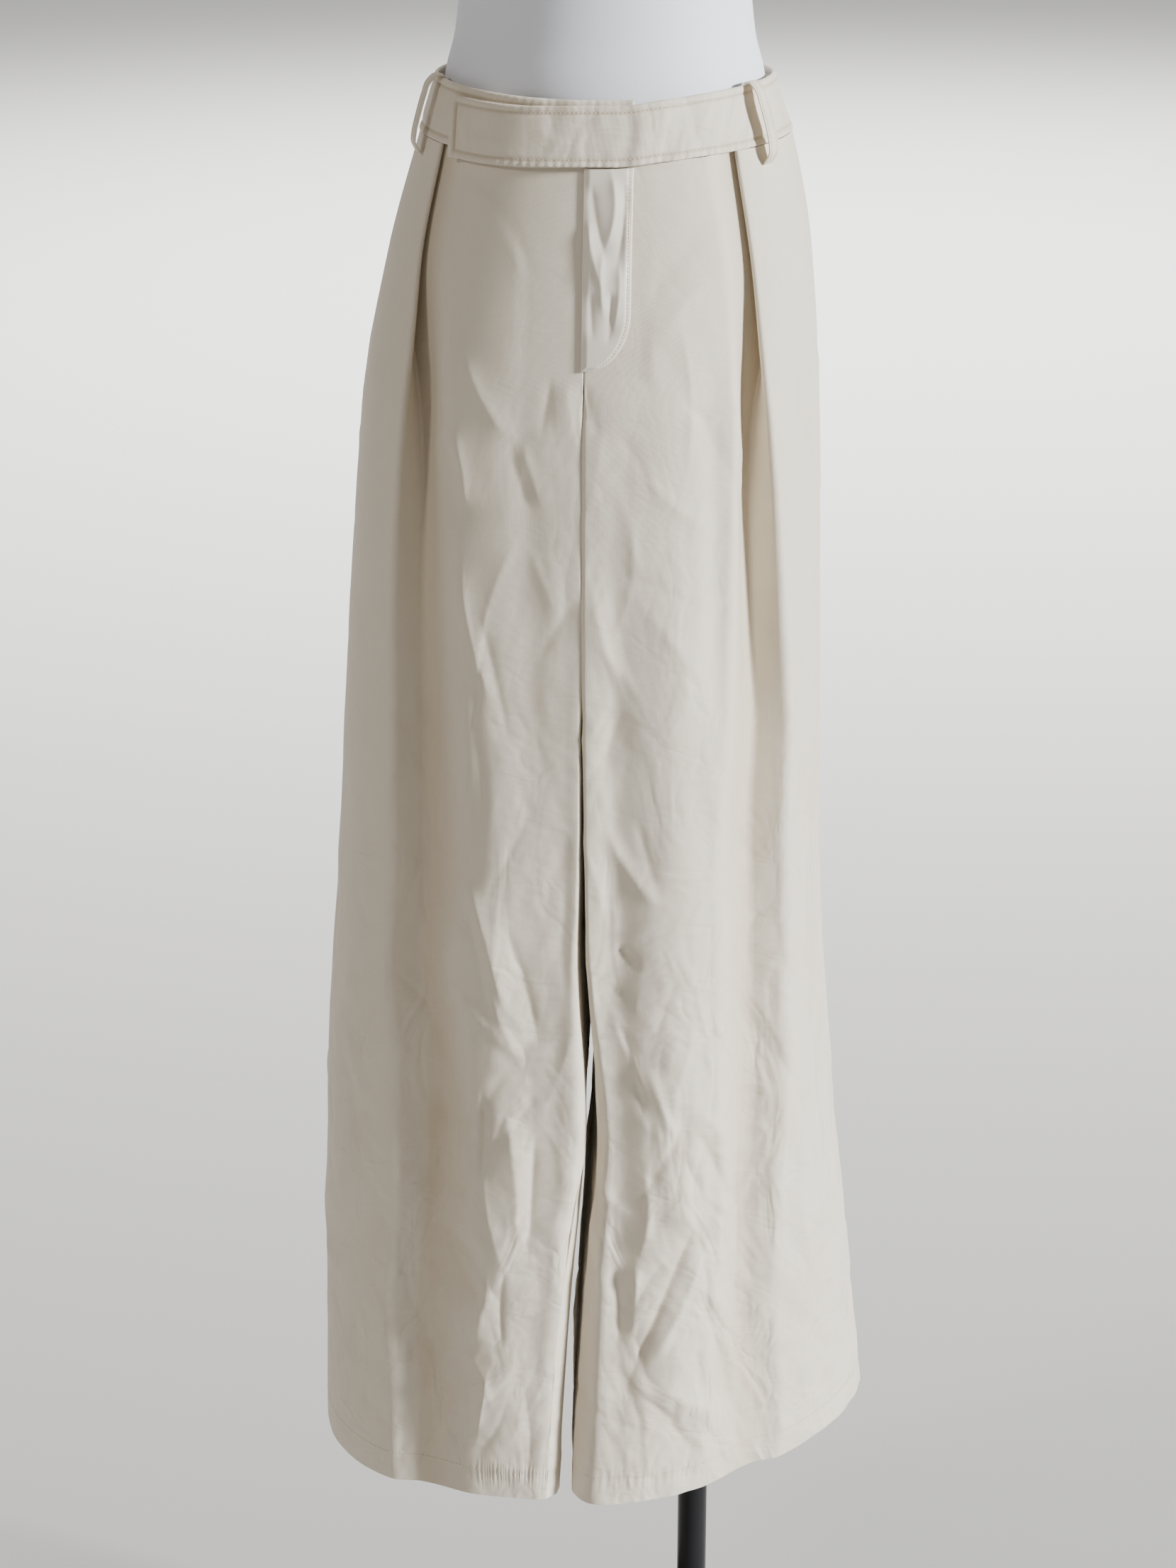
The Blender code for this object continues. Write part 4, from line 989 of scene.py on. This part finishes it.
# Where each loop is, as a share of the way from the front centre to the back, and the loops'
# side view: how far a loop stands off the band, and how far below the band's top edge.
LOOP_PLACES = {"belt_loop_front_right": -0.38, "belt_loop_front_left": 0.35,
               "belt_loop_back_right": -0.78, "belt_loop_back_left": 0.78,
               "belt_loop_back_middle": 1.0}
LOOP_PROFILE = ((-0.0020, -0.0005), (0.0034, -0.0013), (0.0076, 0.0030), (0.0086, 0.0120),
                (0.0088, 0.0260), (0.0084, 0.0380), (0.0068, 0.0460), (0.0026, 0.0515),
                (-0.0003, 0.0545))
LOOP_ROWS = 60
LOOP_STITCH_INSET = 0.0019
LOOP_GROOVE = 0.00028
profile = np.array(LOOP_PROFILE)
share = lengths(profile)
slope = np.gradient(profile, share, axis=0)
fine = np.linspace(0.0, share[-1], LOOP_ROWS)
step = np.clip(np.searchsorted(share, fine, side="right") - 1, 0, len(share) - 2)
span = np.diff(share)[step][:, None]
t = (fine - share[step])[:, None] / span
profile = eased(t, profile[step], profile[step + 1], span * slope[step], span * slope[step + 1])
run = unit(np.gradient(profile, axis=0))
loop_rings = [waist_ring(min(OUTSEAM - below, OUTSEAM)) for stand_off, below in profile]
across = from_edge(LOOP_WIDTH, LOOP_WALL / 2, 12)
edge_gap = np.minimum(across, LOOP_WIDTH - across)
half = half_wall(edge_gap, LOOP_WALL)
groove = ridge(edge_gap - LOOP_STITCH_INSET, 0.0006)
sides = [int(np.argmin(abs(gap - LOOP_STITCH_INSET))) for gap in (across, LOOP_WIDTH - across)]
for name, share in LOOP_PLACES.items():
    layers = ([], [])
    for ring, (stand_off, below), (run_out, run_down) in zip(loop_rings, profile, run):
        for rows, thick in zip(layers, (LOOP_WALL / 2 + half - LOOP_GROOVE * groove, LOOP_WALL / 2 - half)):
            out = BAND_PROUD + SEAM_GAP + stand_off + thick * run_down
            down = below - thick * run_out
            if share == 1.0:
                flat = np.column_stack((LOOP_WIDTH / 2 - across, ring[0][-1, 1] + out))
            else:
                whole = abs(ring[1][-1 if share > 0 else 0])
                flat = on_ring(*ring, share * whole + across - LOOP_WIDTH / 2, out)
            z = HEM_HEIGHT + OUTSEAM - down - dip(OUTSEAM - below, flat[:, 1])
            rows.append(np.column_stack((flat, z)))
    outer, inner = np.array(layers[0])[::-1], np.array(layers[1])[::-1]
    coords = np.dstack(np.meshgrid(across, fine[::-1]))
    # Painted shade darkens the colour along the stitch grooves.
    painted_shade = np.repeat(groove[None, :], LOOP_ROWS, axis=0) * 0.5
    piece = cloth_shell(name, outer, inner, coords, crepe, "cream_crepe", painted_shade)
    way_out = unit(outer - inner)
    lines = [(outer[:, k], way_out[:, k], 0.00006) for k in sides]
    tack = slice(sides[0], sides[1] + 1)
    lines.extend((outer[k, tack], way_out[k, tack], 0.0001) for k in (1, 2, 3))
    sewing = stitches(name + "_stitches", lines, pitch=0.0027, length=0.0021, radius=0.0002)

# ---------------------------------------------------------------------------------------
# The fly: a strip of the cloth's satin side on the wearer's left front. Its folded edge
# lies just over the centre, and one line of stitching goes down it and rounds its corner.
FLY_WIDTH = 0.033
FLY_LENGTH = 0.146
FLY_ROUND = 0.044
FLY_WALL = 0.0012
FLY_OVERHANG = 0.0020
FLY_STITCH_INSET = 0.0024
FLY_PUFF, FLY_GROOVE, FLY_PINCH = 0.0011, 0.0003, 0.00018
FLY_COLUMNS, FLY_ROWS = 40, 110
# The satin's folds, each through three places, in millimetres across from the centre and up
# from the fly's foot, with its width and depth.
FLY_CREASES = (
    (15, 150, 21, 118, 12, 86, 4.6, 2.2),
    (26, 140, 27, 112, 21, 70, 4.0, -1.7),
    (4, 138, 7, 112, 17, 78, 4.0, -1.6),
    (2, 112, 5, 88, 14, 58, 4.2, 1.7),
    (13, 92, 12, 66, 15, 36, 4.4, 2.0),
    (6, 62, 5, 44, 7, 20, 3.8, -1.3),
    (23, 84, 25, 58, 20, 28, 4.0, 1.6),
    (18, 62, 19, 44, 17, 18, 3.4, -1.8),
    (29, 122, 30, 96, 29, 60, 2.8, 1.0),
)


def front_at(height, out):
    """How far forward the wearer's left front stands at distances out from the centre."""
    section = outline(1, height)
    first, last = section["front"]
    return np.interp(out, section["points"][first:last, 0], section["points"][first:last, 1])


# The second colour is the painted shade of hollows, and also the deeper tone of the random patches and slubs.
satin = cloth_material("cream satin", (0.86, 0.80, 0.69), (0.64, 0.55, 0.43), roughness=0.27,
                       sheen=0.05, weave=0.12, thread_width=0.00040, crumple=0.0)
high = OUTSEAM - BAND_HEIGHT - TAB_DROP_START - 3 * SEAM_GAP
base = SEAM_GAP * 1.5 + FLY_WALL / 2
outer, inner, coords, painted_shade = [], [], [], []
for down in 1 - np.cos(np.linspace(0.0, math.pi / 2, FLY_ROWS)) ** 1.6:
    height = high - FLY_LENGTH * down
    left = height - (high - FLY_LENGTH)
    corner = min(max((FLY_ROUND - left) / FLY_ROUND, 0.0), 1.0)
    width = FLY_WIDTH * math.sqrt(max(1 - corner ** 2, 0.0025))
    across = from_edge(width + FLY_OVERHANG, FLY_WALL / 2, FLY_COLUMNS) - FLY_OVERHANG
    gap = np.minimum(np.minimum(across + FLY_OVERHANG, width - across), left + 0.0004)
    half = half_wall(gap, FLY_WALL)
    y = front_at(height, np.abs(across))
    inside = smooth(gap / 0.005)
    fold = crease_shift(across, np.full(len(across), left), inside, FLY_CREASES)
    rise = np.maximum(FLY_PUFF * inside + fold * 0.9, -0.0001)
    sewn = across > 0.2 * width
    groove = ridge(gap - FLY_STITCH_INSET, 0.0007) * sewn
    pinch = FLY_PINCH * np.sin(left / 0.0011) * ridge(gap - FLY_STITCH_INSET, 0.0022) * sewn
    z = HEM_HEIGHT + height - dip(height, y)
    outer.append(np.column_stack((across, y - base - half - rise + FLY_GROOVE * groove - pinch, z)))
    inner.append(np.column_stack((across, y - base + half - np.minimum(rise, 0.0005), z)))
    coords.append(np.column_stack((across, np.full(len(across), left))))
    # Painted shade darkens the colour in the stitch groove and in the troughs of the satin's folds.
    painted_shade.append(0.6 * groove + np.clip(-fold / 0.0022, 0.0, 1.0) * 0.35)
outer, inner, coords, painted_shade = (np.array(rows)[::-1] for rows in (outer, inner, coords, painted_shade))
piece = cloth_shell("fly", outer, inner, coords, satin, "cream_satin", painted_shade)
insets = [min(FLY_STITCH_INSET, 0.4 * (row[-1, 0] - row[0, 0])) for row in outer]
line = np.array([places(row, row[:, 0], row[-1, 0] - inset) for row, inset in zip(outer, insets)])
line = line[line[:, 2] - line[0, 2] > FLY_STITCH_INSET]
start = np.array([[0.0012, line[0, 1] + 0.0002, line[0, 2] - 0.0004]])
line = np.vstack((start, line))
forward = np.repeat(np.array([[0.0, -1.0, 0.0]]), len(line), axis=0)
sewing = stitches("fly_stitches", [(line, forward, 0.0002)], pitch=0.0026, length=0.0020)

# ---------------------------------------------------------------------------------------
# The dress form: a smooth moulded shell with hips, waist, chest and shoulders, closed at
# the neck. It has no limbs, and the trousers rest on its waist and hips. It is drawn up
# ring by ring from its lowest edge. The rings are given by height above the trousers' hem,
# half width, half depth, and how far back their middle is.
FORM_COLUMNS = ("height", "wide", "deep", "back")
FORM_ROWS = (
    (0.866, 0.090, 0.062, 0.006), (0.869, 0.102, 0.071, 0.006), (0.880, 0.115, 0.082, 0.006),
    (0.905, 0.125, 0.090, 0.006), (0.940, 0.130, 0.094, 0.005), (0.985, 0.129, 0.095, 0.004),
    (1.035, 0.125, 0.094, 0.002), (1.078, 0.121, 0.093, 0.000), (1.120, 0.117, 0.092, 0.000),
    (1.150, 0.1095, 0.0865, 0.000), (1.195, 0.1055, 0.0820, 0.000), (1.260, 0.1130, 0.0870, -0.002),
    (1.330, 0.1290, 0.0980, -0.006), (1.400, 0.1420, 0.1060, -0.008), (1.470, 0.1530, 0.1020, -0.004),
    (1.525, 0.1640, 0.0900, 0.002), (1.558, 0.1600, 0.0760, 0.006), (1.582, 0.1340, 0.0650, 0.008),
    (1.600, 0.0900, 0.0570, 0.009), (1.622, 0.0610, 0.0530, 0.009), (1.655, 0.0530, 0.0510, 0.008),
    (1.690, 0.0510, 0.0500, 0.006), (1.698, 0.0450, 0.0440, 0.006), (1.701, 0.0300, 0.0300, 0.006))
FORM_SEGMENTS = 96
FORM_STEPS = 5


def drawn_up(name, segments, rings, sharp_angle):
    """A solid drawn up from a circle by extruding and resizing it, ring by ring. A ring is
    its centre across and back, its height, and its half width and half depth."""
    bpy.ops.object.select_all(action="DESELECT")
    x, y, z, wide, deep = rings[0]
    bpy.ops.mesh.primitive_circle_add(vertices=segments, radius=1.0, fill_type="NGON", location=(x, y, z))
    piece = bpy.context.object
    piece.name = piece.data.name = name
    bpy.ops.object.mode_set(mode="EDIT")
    bpy.ops.mesh.select_all(action="SELECT")
    bpy.ops.transform.resize(value=(wide, deep, 1.0), center_override=(x, y, z))
    for ring in rings[1:]:
        move = tuple(float(after - before) for after, before in zip(ring[:3], (x, y, z)))
        grow = (float(ring[3] / wide), float(ring[4] / deep), 1.0)
        x, y, z, wide, deep = ring
        bpy.ops.mesh.extrude_region_move(TRANSFORM_OT_translate={"value": move})
        bpy.ops.transform.resize(value=grow, center_override=(x, y, z))
    bpy.ops.mesh.select_all(action="SELECT")
    bpy.ops.mesh.normals_make_consistent(inside=False)
    bpy.ops.object.mode_set(mode="OBJECT")
    bpy.ops.object.transform_apply(location=True, rotation=True, scale=True)
    bpy.ops.object.shade_smooth_by_angle(angle=sharp_angle)
    return piece


def coat(name, colour, other, roughness, rough_change, patch, grain, grain_depth, specular):
    """A painted or moulded surface, a little uneven in its colour and its gloss, with a
    fine grain. A patch and a grain are sizes in metres."""
    material, tree = new_material(name)
    place = add(tree, "TexCoord", {}).outputs["Object"]
    patches = add(tree, "TexNoise", {"Vector": place, "Scale": 1.0 / patch, "Detail": 4.0}).outputs["Fac"]
    grains = add(tree, "TexNoise", {"Vector": place, "Scale": 1.0 / grain}).outputs["Fac"]
    tint = add(tree, "Mix", {"Factor": patches, "A": (*colour, 1.0), "B": (*other, 1.0)},
               data_type="RGBA")
    gloss = add(tree, "MapRange", {"Value": patches, "To Min": roughness - rough_change,
                                   "To Max": roughness + rough_change})
    bump = add(tree, "Bump", {"Height": grains, "Strength": 0.5, "Distance": grain_depth})
    fill(tree, tree.nodes["Principled BSDF"], {
        "Base Color": tint.outputs["Result"], "Roughness": gloss.outputs["Result"],
        "Specular IOR Level": specular, "Normal": bump.outputs["Normal"]})
    return material


form_table = table(FORM_COLUMNS, FORM_ROWS)
form_heights = np.unique(np.concatenate([np.linspace(low[0], high[0], FORM_STEPS)
                                         for low, high in zip(FORM_ROWS, FORM_ROWS[1:])]))
form_rings = [(0.0, read(form_table, "back", height), HEM_HEIGHT + height,
               read(form_table, "wide", height), read(form_table, "deep", height))
              for height in form_heights]
form = drawn_up("dress_form_shell", FORM_SEGMENTS, form_rings, math.radians(40))
form.data.materials.append(coat("matte pale form", (0.76, 0.785, 0.86), (0.81, 0.83, 0.885),
                                roughness=0.60, rough_change=0.05, patch=0.09, grain=0.0012,
                                grain_depth=0.00008, specular=0.5))
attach(form, "root")
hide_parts("dress_form")

# ---------------------------------------------------------------------------------------
# The stand: a black steel pole, off to one side of the middle so that it clears the inside
# of one leg, with a flange under the form and a hub that screws it to the base plate.
POLE_OFFSET = 0.0785
POLE_RADIUS = 0.0125
FLANGE_RADIUS = 0.028
FLANGE_HEIGHT = 0.005
HUB_RADIUS = 0.020
HUB_HEIGHT = 0.024
HUB_BEVEL = 0.004
BASE_RADIUS = 0.170
BASE_HEIGHT = 0.008
BASE_BEVEL = 0.003
STAND_SEGMENTS = 96


def stand_piece(name, node, profile, centre, bevel):
    """A turned steel piece from its radii and heights, its rims eased by a small bevel."""
    piece = drawn_up(name, STAND_SEGMENTS, [(centre, 0.0, z, radius, radius) for radius, z in profile],
                     math.radians(35))
    eased = piece.modifiers.new("eased rims", "BEVEL")
    eased.width, eased.segments, eased.limit_method = bevel, 3, "ANGLE"
    eased.angle_limit = math.radians(40)
    bpy.ops.object.modifier_apply(modifier=eased.name)
    piece.data.materials.append(black)
    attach(piece, "root")
    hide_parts(node)


black = coat("black enamelled steel", (0.010, 0.010, 0.011), (0.016, 0.016, 0.017),
             roughness=0.24, rough_change=0.06, patch=0.05, grain=0.0016,
             grain_depth=0.00005, specular=0.2)
low = BASE_HEIGHT + SEAM_GAP
high = HEM_HEIGHT + FORM_ROWS[0][0] - SEAM_GAP
stand_piece("pole_tube", "pole",
            ((HUB_RADIUS, low), (HUB_RADIUS, low + HUB_HEIGHT - HUB_BEVEL),
             (HUB_RADIUS - HUB_BEVEL, low + HUB_HEIGHT), (POLE_RADIUS, low + HUB_HEIGHT + 0.0005),
             (POLE_RADIUS, high - FLANGE_HEIGHT), (FLANGE_RADIUS, high - FLANGE_HEIGHT + 0.0002),
             (FLANGE_RADIUS, high)), POLE_OFFSET, 0.0006)
stand_piece("base_plate_disc", "base_plate",
            ((BASE_RADIUS, 0.0), (BASE_RADIUS, BASE_HEIGHT - BASE_BEVEL),
             (BASE_RADIUS - BASE_BEVEL, BASE_HEIGHT)), 0.0, 0.0008)

# ---------------------------------------------------------------------------------------
# The studio: a wide pale floor, low daylight from the viewer's right, weak room light from
# the left, a light far behind that keeps the floor pale, and the camera at the photograph's
# angle. A light's softness, tilt and turn are in degrees.
FLOOR_SIZE = 1200.0
FLOOR_COLOUR = (0.53, 0.52, 0.505, 1.0)
SKY_COLOUR, SKY_STRENGTH = (1.0, 0.93, 0.85, 1.0), 0.13
SUNS = {"daylight": (9.2, (0.94, 0.97, 1.0), 9, 75, 77),
        "room light": (0.75, (1.0, 0.94, 0.86), 10, 58, -50)}
FLOOR_LIGHT_SIZE, FLOOR_LIGHT_POWER, FLOOR_LIGHT_SPREAD = 9.0, 1250.0, 110
FLOOR_LIGHT_PLACE = (0.0, 7.0, 5.0)
CAMERA_PLACE, CAMERA_TILT = (0.2633, -2.2451, 1.697), math.radians(70.0)
LENS, FILM_HEIGHT = 69.49, 36.0


bpy.ops.object.select_all(action="DESELECT")
bpy.ops.mesh.primitive_plane_add(size=FLOOR_SIZE, location=(0.0, 0.0, 0.0))
floor = bpy.context.object
floor.name = "studio_floor"
pale, tree = new_material("studio floor")
fill(tree, tree.nodes["Principled BSDF"], {"Base Color": FLOOR_COLOUR, "Roughness": 1.0})
floor.data.materials.append(pale)
world = bpy.data.worlds.new("studio")
world.use_nodes = True
fill(world.node_tree, world.node_tree.nodes["Background"], {"Color": SKY_COLOUR, "Strength": SKY_STRENGTH})
bpy.context.scene.world = world
for name, (strength, colour, softness, tilt, turn) in SUNS.items():
    lamp = bpy.data.lights.new(name, "SUN")
    lamp.energy, lamp.color, lamp.angle = strength, colour, math.radians(softness)
    sun = placed(name, lamp)
    sun.rotation_euler = (math.radians(tilt), 0.0, math.radians(turn))
lamp = bpy.data.lights.new("floor light", "AREA")
lamp.shape, lamp.size, lamp.energy = "DISK", FLOOR_LIGHT_SIZE, FLOOR_LIGHT_POWER
lamp.spread = math.radians(FLOOR_LIGHT_SPREAD)
placed("floor light", lamp).location = FLOOR_LIGHT_PLACE
lens = bpy.data.cameras.new("camera")
lens.sensor_fit, lens.sensor_height, lens.lens = "VERTICAL", FILM_HEIGHT, LENS
camera = placed("camera", lens)
camera.location, camera.rotation_euler = CAMERA_PLACE, (CAMERA_TILT, 0.0, VIEW_TURN)
bpy.context.scene.camera = camera
